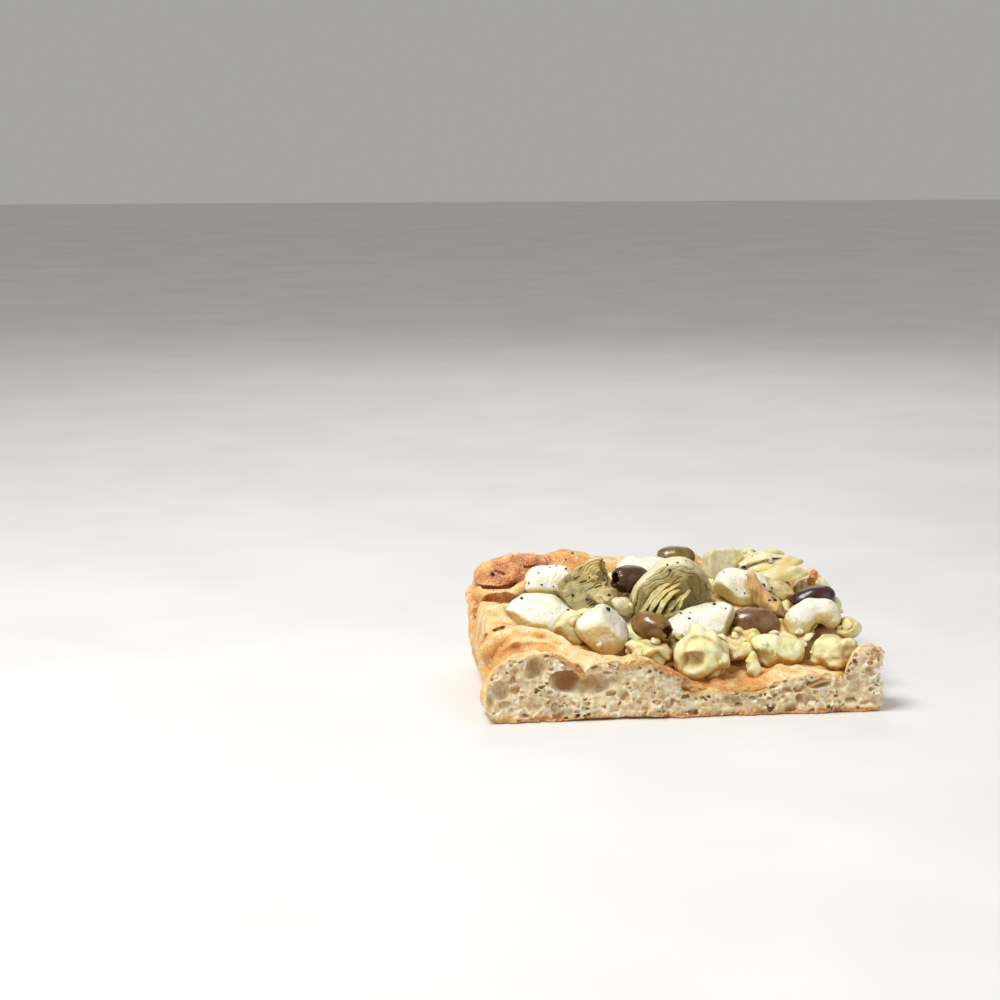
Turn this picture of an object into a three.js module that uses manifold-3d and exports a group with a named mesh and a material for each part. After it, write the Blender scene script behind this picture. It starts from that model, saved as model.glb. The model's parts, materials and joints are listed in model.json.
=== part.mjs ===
// A slice of vegetable focaccia: an open-crumbed bread base with a browned rim along its left and back sides and cut
// faces at its front and right, under crushed potato, mozzarella, artichoke hearts and pitted olives.
// Millimetres. +X runs along the front cut, +Y to the back rim, +Z up, and the slice stands on Z = 0.
import * as THREE from 'three'
import { mergeVertices } from 'three/addons/utils/BufferGeometryUtils.js'
import Module from 'manifold-3d'

const wasm = await Module()
wasm.setup()

// ---- driving dimensions ----
const FRONT_Y = -48.5 // plane of the front cut
const RIGHT_X = 69 // plane of the right cut
const LEFT_X = -63.5 // foot of the browned left side at the front
const LEFT_SLANT = 2.6 // how far that side leans in towards the back
const BACK_Y = 42.5 // foot of the browned back side
const BULGE = 5 // how far the browned sides swell out over their foot
const CORNER = 17 // radius of the rounded back left corner
const FLOOR = 8.6 // height of the bare bread at the front cut
const FLOOR_RISE = 0.2 // rise of the bread per mm towards the back
const BLEND = 1.1 // softness of the creases between the swells of the top crust
const ROUGH = 0.45 // crags of the top crust
const GAP = 0.3 // gap between a topping and what it lies on
const LEAF_GAP = 0.5 // the same round an artichoke's thin leaves
const CELLS_X = 31 // facets of the bread's top along the front
const CELLS_Y = 15 // facets of the bread's top to the back
const OLIVE = { length: 16, width: 11.4, pit: 2.2 }

// Swells of the bread's top: a rounded ridge from one point to the other, each point x, y and the height of its
// crest, with the ridge's half width and how deep it is rounded.
const SWELLS = [
  { name: 'toasted bubble', from: [-53, 26, 39.5], to: [-42, 33, 40.6], wide: 14, deep: 17 },
  { name: 'second bubble', from: [-31, 33, 40.6], to: [-24, 35, 40.4], wide: 12.5, deep: 15 },
  { name: 'back rim', from: [-18, 37, 38], to: [18, 38, 36.4], wide: 12, deep: 17 },
  { name: 'back rim, right', from: [18, 38, 36.4], to: [66, 36, 30.5], wide: 12, deep: 15 },
  { name: 'left rim', from: [-59.5, 16, 28.5], to: [-59, -8, 27.5], wide: 11, deep: 16 },
  { name: 'golden ridge', from: [-59, -12, 26.5], to: [-46, -29, 22], wide: 10.5, deep: 14 },
  { name: 'ridge to the cut', from: [-46, -28, 22.6], to: [-24, -45, 20.9], wide: 9.5, deep: 13 },
  { name: 'swell at the cut', from: [-24, -48, 20.6], to: [-17, -47, 20.2], wide: 16, deep: 13 },
  { name: 'opened bubble', from: [-57, -48, 22.6], to: [-46, -48, 24.6], wide: 11.5, deep: 15 },
  { name: 'left shoulder', from: [-44, -10, 20.5], to: [-30, -14, 20], wide: 19, deep: 11 },
  { name: 'back left shoulder', from: [-42, 6, 25.5], to: [-30, 15, 28], wide: 18, deep: 14 },
  { name: 'right corner', from: [63, -49, 24.8], to: [66, -40, 22], wide: 9, deep: 16 },
  { name: 'right shelf', from: [46, -49, 14.4], to: [38, -40, 14.6], wide: 13, deep: 9 }
]

// The blister of crust at the back left, that stands over its foot: centre and half sizes.
const BLISTER = { at: [-51.5, 28, 34.6], size: [13.4, 12.4, 6.4] }

// Folds of the crust: ropes laid along the dough, each point x, y, z and the rope's radius.
const FOLDS = [
  [[-61, 27, 27.5, 4.2], [-60.5, 18, 28.4, 4.2], [-56.5, 12.6, 29, 3.4], [-51, 12.4, 30.2, 2.6]],
  [[-60, 3, 24.6, 4], [-55, 5.5, 25.2, 3.2], [-50, 3, 23, 2.4]],
  [[-58, -20, 20.2, 3.6], [-50, -20.5, 20, 3], [-43.5, -26, 19.4, 2.6], [-39, -35, 18.8, 2.4], [-32, -46, 17.2, 2]]
]

// Bubbles that the front cut lays open: x and z of the centre, half width, half height and depth.
const FRONT_PORES = [
  [-35.2, 12.2, 11.2, 5.6, 8], [-51.3, 18.7, 4, 3.8, 6], [-62.3, 11.4, 3.4, 4.2, 5], [-66, 8.4, 1.7, 4.6, 3],
  [-58.2, 17.6, 2, 2, 3], [-54.6, 13.6, 2.6, 2.5, 2.5], [-51.5, 6.3, 3.1, 2.8, 4], [-54.2, 2.4, 2, 1.1, 3],
  [-44.2, 4.6, 1.9, 1.8, 3], [-59.3, 4.1, 1.5, 1.9, 2.5], [-26.6, 15.6, 2.4, 1.3, 4], [-39.4, 3.6, 1.2, 1.6, 2],
  [-5.8, 11.6, 4.2, 3.3, 1.8], [14.6, 5.9, 2.4, 1.9, 4], [18.2, 3.4, 1.7, 1.4, 4], [22.4, 5.9, 1.8, 0.9, 3],
  [26.6, 3.9, 2.2, 1.6, 2], [3.1, 6.4, 1.5, 1.2, 2], [31.2, 6.6, 1.3, 1.3, 3], [39.8, 5.2, 2.4, 1.9, 5],
  [45.6, 10, 4.2, 1.7, 7], [58.8, 8.3, 3, 3, 4], [63.6, 14, 2.4, 2.6, 4], [52, 9.6, 1.7, 1.4, 2.5],
  [62, 3, 2.2, 1.1, 2.5], [47.6, 5.4, 2.6, 1.8, 2], [-13.8, 4.2, 1.6, 1, 2], [-5.6, 4.6, 1.4, 1, 2]
]

// ---- small tools ----
const rad = (deg) => (deg * Math.PI) / 180
const clamp = (x, a, b) => Math.min(b, Math.max(a, x))
const smooth = (x) => clamp(x, 0, 1) ** 2 * (3 - 2 * clamp(x, 0, 1))
const mix = (a, b, t) => a + (b - a) * t

// Seeded random numbers in [0, 1).
function randoms(seed) {
  let state = seed >>> 0
  return () => {
    state = (state + 0x6d2b79f5) >>> 0
    let t = Math.imul(state ^ (state >>> 15), 1 | state)
    t = (t + Math.imul(t ^ (t >>> 7), 61 | t)) ^ t
    return ((t ^ (t >>> 14)) >>> 0) / 4294967296
  }
}

// A smooth uneven field of about [-1, 1]: waves of the given length that run in seeded directions.
function unevenness(seed, length) {
  const random = randoms(seed)
  const waves = []
  for (let i = 0; i < 6; i++) {
    const turn = random() * Math.PI * 2
    const rise = random() * 2 - 1
    const flat = Math.sqrt(1 - rise * rise)
    const k = ((Math.PI * 2) / length) * (0.7 + 0.8 * random())
    const phase = random() * Math.PI * 2
    waves.push([k * flat * Math.cos(turn), k * flat * Math.sin(turn), k * rise, phase])
  }
  return (x, y, z) => {
    let sum = 0
    for (const w of waves) sum += Math.sin(w[0] * x + w[1] * y + w[2] * z + w[3])
    return sum / 3
  }
}

function geometryOf(points, triangles) {
  const geometry = new THREE.BufferGeometry()
  geometry.setAttribute('position', new THREE.Float32BufferAttribute(points.flat(), 3))
  geometry.setIndex(triangles.flat())
  return geometry
}

// A closed geometry as a solid that can be cut and joined; slivers of no area at its poles are left out.
function solidOf(geometry) {
  const clean = geometry.clone()
  clean.deleteAttribute('normal')
  clean.deleteAttribute('uv')
  const merged = mergeVertices(clean, 1e-4)
  const index = merged.index.array
  const kept = []
  for (let i = 0; i < index.length; i += 3) {
    const [a, b, c] = [index[i], index[i + 1], index[i + 2]]
    if (a !== b && b !== c && c !== a) kept.push(a, b, c)
  }
  const mesh = new wasm.Mesh({
    numProp: 3,
    vertProperties: new Float32Array(merged.attributes.position.array),
    triVerts: new Uint32Array(kept)
  })
  return new wasm.Manifold(mesh)
}

function geometryFrom(solid) {
  const mesh = solid.getMesh()
  const geometry = new THREE.BufferGeometry()
  const step = mesh.numProp
  const count = mesh.vertProperties.length / step
  const points = new Float32Array(count * 3)
  for (let i = 0; i < count; i++) {
    for (let k = 0; k < 3; k++) points[3 * i + k] = mesh.vertProperties[step * i + k]
  }
  geometry.setAttribute('position', new THREE.BufferAttribute(points, 3))
  geometry.setIndex(new THREE.BufferAttribute(new Uint32Array(mesh.triVerts), 1))
  return geometry
}

// The largest of the bodies that a cut leaves.
function largest(solid) {
  const bodies = solid.decompose()
  bodies.sort((a, b) => b.volume() - a.volume())
  return bodies[0]
}

// Moves each point of a closed geometry out along its normal.
function grown(geometry, distance) {
  const clean = geometry.clone()
  clean.deleteAttribute('normal')
  clean.deleteAttribute('uv')
  const merged = mergeVertices(clean, 1e-4)
  merged.computeVertexNormals()
  const p = merged.attributes.position
  const n = merged.attributes.normal
  for (let i = 0; i < p.count; i++) {
    p.setXYZ(i, p.getX(i) + n.getX(i) * distance, p.getY(i) + n.getY(i) * distance, p.getZ(i) + n.getZ(i) * distance)
  }
  return merged
}

function placed(geometry, at, turn) {
  const matrix = new THREE.Matrix4()
  const euler = new THREE.Euler(rad(turn[0]), rad(turn[1]), rad(turn[2]), 'ZYX')
  matrix.makeRotationFromEuler(euler)
  matrix.setPosition(at[0], at[1], at[2])
  return geometry.applyMatrix4(matrix)
}

// ---- bread ----
function swellHeight(swell, x, y) {
  const [ax, ay, az] = swell.from
  const [bx, by, bz] = swell.to
  const length2 = (bx - ax) ** 2 + (by - ay) ** 2
  const t = clamp(((x - ax) * (bx - ax) + (y - ay) * (by - ay)) / length2, 0, 1)
  const away = Math.hypot(x - mix(ax, bx, t), y - mix(ay, by, t)) / swell.wide
  if (away >= 1) return -100
  return mix(az, bz, t) - swell.deep * (1 - Math.sqrt(1 - away * away))
}

const crags = unevenness(11, 7)
const waviness = unevenness(12, 26)

// Height of the bread's top over a point: the floor and the swells, joined by soft creases.
function breadTop(x, y) {
  let sum = Math.exp((FLOOR + FLOOR_RISE * (y - FRONT_Y)) / BLEND - 20)
  for (const swell of SWELLS) sum += Math.exp(swellHeight(swell, x, y) / BLEND - 20)
  return BLEND * (Math.log(sum) + 20) + ROUGH * crags(x, y, 0) + 0.5 * waviness(x, y, 0)
}

const leftEdge = (t) => LEFT_X - BULGE / 2 + LEFT_SLANT * smooth(2 * t)
const BACK_EDGE = BACK_Y + BULGE / 2

// A point of the plan, s along the front and t to the back, both 0 to 1, with the back left corner rounded.
function planPoint(s, t) {
  const left = leftEdge(t)
  let x = mix(left, RIGHT_X, s)
  let y = mix(FRONT_Y, BACK_EDGE, t)
  const a = (left + CORNER - x) / CORNER
  const b = (y - (BACK_EDGE - CORNER)) / CORNER
  if (a > 0 && b > 0) {
    x = left + CORNER - CORNER * a * Math.sqrt(1 - (b * b) / 2)
    y = BACK_EDGE - CORNER + CORNER * b * Math.sqrt(1 - (a * a) / 2)
  }
  return [x, y]
}

// Which way a browned side swells at a point of the plan's edge: to the left, to the back, or out of the corner.
function outward(s, t, x, y) {
  if (s > 0 && t < 1) return [0, 0]
  const cx = leftEdge(t) + CORNER
  const cy = BACK_EDGE - CORNER
  if (x < cx && y > cy) {
    const length = Math.hypot(x - cx, y - cy)
    return [(x - cx) / length, (y - cy) / length]
  }
  return t >= 1 ? [0, 1] : [-1, 0]
}

// The bread's outer form: the top as a grid, the sides as rings that swell where they are browned, a flat foot.
function breadShell(lift) {
  const points = []
  const triangles = []
  const at = (i, j) => j * (CELLS_X + 1) + i
  for (let j = 0; j <= CELLS_Y; j++) {
    for (let i = 0; i <= CELLS_X; i++) {
      const [x, y] = planPoint(i / CELLS_X, j / CELLS_Y)
      points.push([x, y, breadTop(x, y) + lift])
    }
  }
  for (let j = 0; j < CELLS_Y; j++) {
    for (let i = 0; i < CELLS_X; i++) {
      triangles.push([at(i, j), at(i + 1, j), at(i + 1, j + 1)], [at(i, j), at(i + 1, j + 1), at(i, j + 1)])
    }
  }
  const edge = []
  for (let i = 0; i < CELLS_X; i++) edge.push([i, 0])
  for (let j = 0; j < CELLS_Y; j++) edge.push([CELLS_X, j])
  for (let i = CELLS_X; i > 0; i--) edge.push([i, CELLS_Y])
  for (let j = CELLS_Y; j > 0; j--) edge.push([0, j])
  const profile = [[0.72, 0.49], [0.38, 0.44], [0.1, -0.06], [0, -0.5]]
  const dents = unevenness(13, 17)
  let ring = edge.map(([i, j]) => at(i, j))
  for (const [up, out] of profile) {
    const next = []
    for (const [i, j] of edge) {
      const [x, y, top] = points[at(i, j)]
      const [nx, ny] = outward(i / CELLS_X, j / CELLS_Y, x, y)
      const swell = BULGE * out + (up > 0 ? 0.9 * dents(x, y, top * up) : 0)
      next.push(points.length)
      points.push([x + nx * swell, y + ny * swell, up * top])
    }
    for (let k = 0; k < edge.length; k++) {
      const m = (k + 1) % edge.length
      triangles.push([ring[k], next[k], next[m]], [ring[k], next[m], ring[m]])
    }
    ring = next
  }
  const middle = points.length
  points.push([0, 0, 0])
  for (let k = 0; k < edge.length; k++) triangles.push([ring[k], middle, ring[(k + 1) % edge.length]])
  return geometryOf(points, triangles)
}

function pore(x, y, z, rx, ry, rz) {
  const ball = new THREE.IcosahedronGeometry(1, rx > 6 ? 2 : rx > 2 ? 1 : 0)
  ball.scale(rx, ry, rz)
  ball.translate(x, y, z)
  return solidOf(ball)
}

// The bubbles laid open by the two cuts. Small ones are drawn at random below the crust, and keep clear of the others.
function crumbPores() {
  const pores = []
  const taken = []
  for (const [x, z, wide, high, deep] of FRONT_PORES) {
    pores.push(pore(x, FRONT_Y - 0.25 * deep, z, wide, deep * 1.25, high))
    taken.push(['front', x, z, wide, high])
  }
  const random = randoms(21)
  for (const side of ['front', 'right']) {
    const wanted = side === 'front' ? 2 : 8
    let found = 0
    for (let tries = 0; tries < 900 && found < wanted; tries++) {
      const along = side === 'front' ? mix(-62, 66, random()) : mix(-44, 43, random())
      const big = random()
      const wide = side === 'front' ? mix(0.9, 1.5, big) : mix(1.1, 4.2, big ** 2.2)
      const high = wide * mix(0.7, 1, random())
      const top = side === 'front' ? breadTop(along, FRONT_Y) : breadTop(RIGHT_X, along)
      const up = mix(2.6 + high, top - 3.2 - high, random())
      if (top < 6 + 2 * high) continue
      const clear = taken.every((q) => q[0] !== side
        || Math.hypot((along - q[1]) / (wide + q[3] + 0.7), (up - q[2]) / (high + q[4] + 0.7)) > 1)
      if (!clear) continue
      taken.push([side, along, up, wide, high])
      found++
      if (side === 'front') pores.push(pore(along, FRONT_Y - 0.2, up, wide, wide, high))
      else pores.push(pore(RIGHT_X + 0.3 * wide, along, up, wide * 1.2, wide, high))
    }
  }
  return pores
}

// A rope: balls at the points of a path, drawn out by `flat` along the axes, each joined to the next by their hull.
function rope(path, { distance = 0, flat = [1, 1, 1], segments = 12, at = [0, 0, 0] } = {}) {
  const balls = path.map(([x, y, z, r]) => {
    const ball = wasm.Manifold.sphere(1, segments).scale(flat.map((f) => r * f + distance))
    return ball.translate([x + at[0], y + at[1], z + at[2]])
  })
  let solid = wasm.Manifold.hull([balls[0], balls[1]])
  for (let i = 2; i < balls.length; i++) solid = solid.add(wasm.Manifold.hull([balls[i - 1], balls[i]]))
  return solid
}

// The bread without its bubbles: the shell with its blister and folds.
function breadForm(lift) {
  const ball = new THREE.IcosahedronGeometry(1, 2)
  ball.scale(...BLISTER.size.map((half) => half + lift))
  ball.translate(...BLISTER.at)
  let form = solidOf(breadShell(lift)).add(solidOf(ball))
  for (const fold of FOLDS) form = form.add(rope(fold, { distance: lift, segments: 8 }))
  return form
}

function breadSolid() {
  let bread = breadForm(0)
  for (const bubble of crumbPores()) bread = bread.subtract(bubble)
  return largest(bread)
}

// ---- toppings ----
// A lump: a ball drawn to half sizes, with edges as square as `square` (2 is round), uneven by `rough`.
function lump({ size, square = 2, rough = 0.12, seed, detail = 2, bend = 0, flat = 0 }) {
  const geometry = new THREE.IcosahedronGeometry(1, detail)
  const p = geometry.attributes.position
  const coarse = unevenness(seed, 1.9)
  const fine = unevenness(seed + 1, 0.8)
  for (let i = 0; i < p.count; i++) {
    const [x, y, z] = [p.getX(i), p.getY(i), p.getZ(i)]
    const norm = (Math.abs(x) ** square + Math.abs(y) ** square + Math.abs(z) ** square) ** (1 / square)
    const r = (1 + rough * coarse(x, y, z) + 0.35 * rough * fine(x, y, z)) / norm
    const low = z < 0 ? 1 - flat : 1
    const px = x * r
    p.setXYZ(i, px * size[0], y * r * size[1], z * r * low * size[2] - bend * size[2] * px * px)
  }
  return geometry
}

// A pitted olive along X: a shell of revolution with the pit's bore open at one end.
function olive({ length = OLIVE.length, width = OLIVE.width, pit = OLIVE.pit, deep = 0.62, segments = 12 }) {
  const half = length / 2
  const profile = []
  const steps = 6
  const start = Math.asin(clamp((pit + 0.7) / (width / 2), 0, 0.95))
  for (let i = 0; i <= steps; i++) {
    const a = mix(Math.PI, start, i / steps)
    profile.push(new THREE.Vector2((width / 2) * Math.sin(a) ** 0.9, half * Math.cos(a)))
  }
  profile[0].x = 0
  const rim = profile[profile.length - 1].y
  profile.push(new THREE.Vector2(pit, rim - 0.5))
  profile.push(new THREE.Vector2(pit * 1.05, rim - deep * length * 0.5))
  profile.push(new THREE.Vector2(0, rim - deep * length))
  const geometry = new THREE.LatheGeometry(profile, segments)
  geometry.rotateZ(-Math.PI / 2)
  return geometry
}

// A leaf of an artichoke heart about the X axis: thin, cupped, wavy at its lip and lens shaped in section.
function leaf({ start, length, radius, spread, thick, seed, flare, open }) {
  const nu = 4
  const nv = 4
  const points = []
  const triangles = []
  const uneven = unevenness(seed, 11)
  const index = []
  for (const side of [1, -1]) {
    const rows = []
    for (let i = 0; i <= nu; i++) {
      const row = []
      for (let j = 0; j <= nv; j++) {
        const u = i / nu
        const v = (2 * j) / nv - 1
        const rim = i === 0 || i === nu || j === 0 || j === nv
        if (side < 0 && rim) {
          row.push(index[i][j])
          continue
        }
        const taper = 0.5 + 0.5 * Math.sin(Math.PI * clamp(0.15 + 0.62 * u, 0, 1))
        const angle = rad(spread) * v * taper
        const belly = Math.sin(Math.PI * (open + (0.76 - open) * u)) ** 0.8 + flare * u * u
        const x = start + length * u * (1 - 0.1 * v * v)
        const lens = rim ? 0 : side * thick * 0.5
        const r = radius * belly + lens + 0.5 * uneven(x, angle * radius, 0)
        row.push(points.length)
        points.push([x, r * Math.sin(angle), r * Math.cos(angle)])
      }
      rows.push(row)
    }
    if (side > 0) index.push(...rows)
    for (let i = 0; i < nu; i++) {
      for (let j = 0; j < nv; j++) {
        const [a, b, c, d] = [rows[i][j], rows[i + 1][j], rows[i + 1][j + 1], rows[i][j + 1]]
        if (side > 0) triangles.push([a, b, c], [a, c, d])
        else triangles.push([a, c, b], [a, d, c])
      }
    }
  }
  return geometryOf(points, triangles)
}

// A piece of artichoke heart along X, its outer leaf up: a core near its base with nested leaves joined to it, cut
// flat below so that the layers show. `open` says how wide its base end is, from 0.16 for a closed base to 0.4 for a
// piece that is also cut across.
function artichoke({ size, leaves = 3, spread = 96, seed, flare = 0.15, open = 0.16, distance = 0 }) {
  const [length, radius, core] = size
  const heart = new THREE.IcosahedronGeometry(1, 1)
  heart.scale(length * 0.32, radius * 0.7, core)
  heart.translate(length * (0.18 + 0.7 * open), 0, radius * 0.5)
  let solid = solidOf(distance ? grown(heart, distance) : heart)
  for (let k = 0; k < leaves; k++) {
    const shell = leaf({
      start: length * 0.04 * k,
      length: length * (1 - 0.09 * k),
      radius: radius * (1 - 0.24 * k),
      spread: spread - 4 * k,
      thick: 1.9,
      seed: seed + k,
      flare,
      open
    })
    solid = solid.add(solidOf(distance ? grown(shell, distance) : shell))
  }
  const knife = new THREE.BoxGeometry(4 * length, 4 * length, 2 * length)
  knife.translate(0, 0, -length - distance)
  return solid.subtract(solidOf(knife))
}

// ---- the toppings of this slice, from the bread up: centre, half sizes, turn about X, Y and Z in degrees, or a path ----
const COLOURS = {
  bread: { color: 0xd9b47c, roughness: 0.85 },
  potato: { color: 0xe6dc9a, roughness: 0.6 },
  mozzarella: { color: 0xf3efdc, roughness: 0.35 },
  artichoke: { color: 0xa39a55, roughness: 0.5 },
  heart: { color: 0xc2b780, roughness: 0.5 },
  olive: { color: 0x4a3020, roughness: 0.25 }
}

const TOPPINGS = [
  { name: 'potato_mash', kind: 'potato', at: [12, -3, 19], size: [50, 29, 6.6], turn: [11, 0, 0], seed: 301, rough: 0.05, square: 2.7, detail: 2 },
  { name: 'potato_mash_back', kind: 'potato', at: [6, 21, 28.5], size: [42, 10, 6], turn: [10, 2, 0], seed: 305, rough: 0.05, square: 2.7, detail: 2 },
  { name: 'potato_left', kind: 'potato', at: [-33, -15, 24], size: [7.4, 8, 7.6], turn: [0, 15, 10], seed: 311 },
  { name: 'potato_front_left', kind: 'potato', at: [-9.5, -31, 18], size: [9.4, 5.5, 4.8], turn: [0, 12, 0], seed: 313, rough: 0.2 },
  { name: 'potato_front_middle', kind: 'potato', at: [8.6, -34, 17.8], size: [9.9, 8, 9], turn: [0, -8, 0], seed: 315 },
  { name: 'potato_drip', kind: 'potato', at: [26, -37, 12.9], size: [3, 3.2, 5.6], turn: [0, -14, 0], seed: 319, detail: 1 },
  { name: 'potato_front_right', kind: 'potato', at: [36.4, -28.5, 16.2], size: [8.8, 7.4, 6.4], turn: [0, 12, 0], seed: 317 },
  { name: 'potato_low_right', kind: 'potato', at: [56.4, -28, 16.4], size: [8.2, 7.4, 6.4], turn: [0, -6, 0], seed: 321 },
  { name: 'potato_far_right', kind: 'potato', at: [64.2, -17, 21.4], size: [4.7, 5.4, 4.8], turn: [0, 10, 0], seed: 323, detail: 1 },
  { name: 'potato_right', kind: 'potato', at: [60, 0, 24.6], size: [7, 7.4, 5.6], turn: [0, 0, 0], seed: 329, detail: 1 },
  { name: 'potato_back', kind: 'potato', at: [40, 31, 36.4], size: [9.4, 6.8, 4.8], turn: [0, 6, 0], seed: 325 },
  { name: 'potato_back_right', kind: 'potato', at: [60, 19, 27.6], size: [7, 7, 5], turn: [0, 0, 30], seed: 327, detail: 1 },
  { name: 'mozzarella_left', kind: 'mozzarella', at: [-43.4, -1, 26], size: [12.6, 9.6, 4], turn: [24, 3, 0], seed: 401, square: 2.9, rough: 0.05 },
  { name: 'mozzarella_back_left', kind: 'mozzarella', at: [-37.8, 14, 34], size: [10, 6.6, 4.8], turn: [12, 0, 4], seed: 403, square: 2.8, rough: 0.05 },
  { name: 'mozzarella_front_left', kind: 'mozzarella', at: [-24.3, -22, 25], size: [9.6, 7.6, 8], turn: [0, 30, 0], seed: 405, square: 2.4, rough: 0.06 },
  { name: 'mozzarella_back', kind: 'mozzarella', at: [-1, 21, 36], size: [11.4, 8.5, 4.2], turn: [8, 2, -4], seed: 407, square: 2.8, rough: 0.05 },
  { name: 'mozzarella_middle', kind: 'mozzarella', at: [11.6, -17, 24.4], size: [13.2, 7.4, 5], turn: [26, -14, 4], seed: 409, square: 2.7, rough: 0.05 },
  { name: 'mozzarella_right_back', kind: 'mozzarella', at: [31.6, 7, 31.8], size: [10, 8, 6], turn: [16, 8, 0], seed: 411, square: 2.6, rough: 0.05 },
  { name: 'mozzarella_right', kind: 'mozzarella', at: [52, -15, 24.6], path: [[-5.8, -1.6, -4.6, 3.9], [-5.2, -1, 0.4, 4.7], [-0.8, 0.4, 3, 4.3], [4.6, 0, 3, 4.3], [6.4, -1, 0.4, 3.5]] },
  { name: 'olive_front', kind: 'olive', at: [-7.6, -24.6, 26], turn: [0, 10, -40], length: 15.4, width: 10.2 },
  { name: 'olive_right', kind: 'olive', at: [31, -14, 23.4], turn: [0, -4, 170], length: 18.2, width: 12.2 },
  { name: 'artichoke_left', kind: 'artichoke', at: [-35.4, 2, 29.6], size: [21, 9.4, 4.4], turn: [-108, -30, 0], seed: 501, flare: 0.2 },
  { name: 'artichoke_middle', kind: 'artichoke', at: [4.4, -11, 27], size: [25, 17, 7], turn: [0, -6, 84], seed: 511, open: 0.36, flare: 0 },
  { name: 'artichoke_heart_back', kind: 'heart', at: [28.3, 22, 37], size: [7.6, 4.4, 6], turn: [-10, 0, 6], seed: 551, square: 3.4, rough: 0.05 },
  { name: 'artichoke_back_right', kind: 'artichoke', at: [32, 17, 33.6], size: [24, 7.8, 4], turn: [-60, 0, 4], seed: 521, flare: 0.3, leaves: 2 },
  { name: 'artichoke_right', kind: 'artichoke', at: [37.4, 9, 30], size: [19, 7.4, 4], turn: [-112, 2, 8], seed: 531, flare: 0.4, leaves: 2 },
  { name: 'artichoke_strip', kind: 'heart', at: [36.8, -3, 30.6], flat: [1, 1.6, 1], path: [[-3.4, 1.8, 7.2, 1.5], [-2.2, 1.2, 3, 1.9], [0.2, 0.2, -1.2, 2.3], [3.4, -1.6, -3.8, 2.2], [5, -2.6, -5.2, 1.5]] },
  { name: 'artichoke_scrap', kind: 'heart', at: [-15.3, -9, 30], size: [4.2, 3, 2.6], turn: [0, 34, 0], seed: 543, detail: 1 },
  { name: 'olive_left', kind: 'olive', at: [-10, 2.4, 36.8], turn: [0, -10, 205], length: 17, width: 10.4 },
  { name: 'olive_back', kind: 'olive', at: [11.3, 31, 38], turn: [0, 4, 170], length: 15.4, width: 9.2 },
  { name: 'olive_far_right', kind: 'olive', at: [54.4, -3, 29], turn: [0, 16, 170], length: 17.4, width: 9.2 }
]

function toppingSolid(spec, distance) {
  if (spec.kind === 'artichoke') {
    const piece = artichoke({ ...spec, distance })
    const geometry = geometryFrom(piece)
    return solidOf(placed(geometry, spec.at, spec.turn))
  }
  if (spec.path) return rope(spec.path, { distance, flat: spec.flat, at: spec.at })
  let geometry = spec.kind === 'olive' ? olive(spec) : lump(spec)
  if (distance && spec.kind === 'olive') geometry = olive({ ...spec, length: spec.length + 0.6, width: spec.width + 0.6 })
  else if (distance) geometry = grown(geometry, distance)
  return solidOf(placed(geometry, spec.at, spec.turn))
}

function meshOf(solid, name, look) {
  const material = new THREE.MeshStandardMaterial({ ...look, metalness: 0, flatShading: true })
  const mesh = new THREE.Mesh(geometryFrom(solid), material)
  mesh.name = name
  return mesh
}

const slice = new THREE.Group()
slice.name = 'vegetable_focaccia_slice'
slice.add(meshOf(breadSolid(), 'bread', COLOURS.bread))

const below = [breadForm(GAP)]
for (const spec of TOPPINGS) {
  let solid = toppingSolid(spec, 0)
  for (const other of below) solid = solid.subtract(other)
  slice.add(meshOf(largest(solid), spec.name, COLOURS[spec.kind]))
  const room = toppingSolid(spec, spec.kind === 'artichoke' ? LEAF_GAP : GAP)
  below.push(room.add(toppingSolid(spec, 0)))
}

export default slice
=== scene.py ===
"""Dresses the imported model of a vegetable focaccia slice: open-crumbed bread with a browned rim, crushed
potato, mozzarella, artichoke hearts and pitted olives. Shapes are worked out in millimetres and placed in
metres."""
import json
import math

import bpy
import numpy as np
from bpy.props import FloatProperty, FloatVectorProperty, IntProperty, PointerProperty
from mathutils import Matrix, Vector
from mathutils.bvhtree import BVHTree

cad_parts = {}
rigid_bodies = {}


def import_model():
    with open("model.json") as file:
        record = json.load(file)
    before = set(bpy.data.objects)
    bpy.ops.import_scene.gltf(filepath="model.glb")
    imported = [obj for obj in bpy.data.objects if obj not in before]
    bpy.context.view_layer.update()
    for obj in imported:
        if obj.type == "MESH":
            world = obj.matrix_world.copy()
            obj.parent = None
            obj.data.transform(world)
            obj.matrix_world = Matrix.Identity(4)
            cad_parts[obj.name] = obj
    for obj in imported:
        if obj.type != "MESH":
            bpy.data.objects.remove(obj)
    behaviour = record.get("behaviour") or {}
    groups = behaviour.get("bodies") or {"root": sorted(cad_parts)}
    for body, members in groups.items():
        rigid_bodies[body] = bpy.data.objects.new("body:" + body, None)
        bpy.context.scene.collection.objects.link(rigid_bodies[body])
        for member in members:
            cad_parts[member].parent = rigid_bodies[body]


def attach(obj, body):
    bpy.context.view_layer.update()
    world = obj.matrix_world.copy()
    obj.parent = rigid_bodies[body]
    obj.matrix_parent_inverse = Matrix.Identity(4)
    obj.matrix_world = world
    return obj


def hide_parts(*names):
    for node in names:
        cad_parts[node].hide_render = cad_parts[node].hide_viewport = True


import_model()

bl_info = {
    "name": "Vegetable focaccia slice",
    "version": (1, 0, 0),
    "blender": (4, 5, 0),
    "location": "3D View > Sidebar > Focaccia",
    "description": "Builds the bread, the toppings and the stage of a focaccia slice",
    "category": "Object",
}

MM = 0.001

# The tables of random values of the noise have so many along each side.
TABLE = 32

# ---- the bread's form, in millimetres ----
FRONT_Y, RIGHT_X, LEFT_X, BACK_Y = -48.5, 69.0, -63.5, 42.5
LEFT_SLANT, BULGE, CORNER = 2.6, 5.0, 17.0
FLOOR, FLOOR_RISE, BLEND = 8.6, 0.2, 1.1

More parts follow.
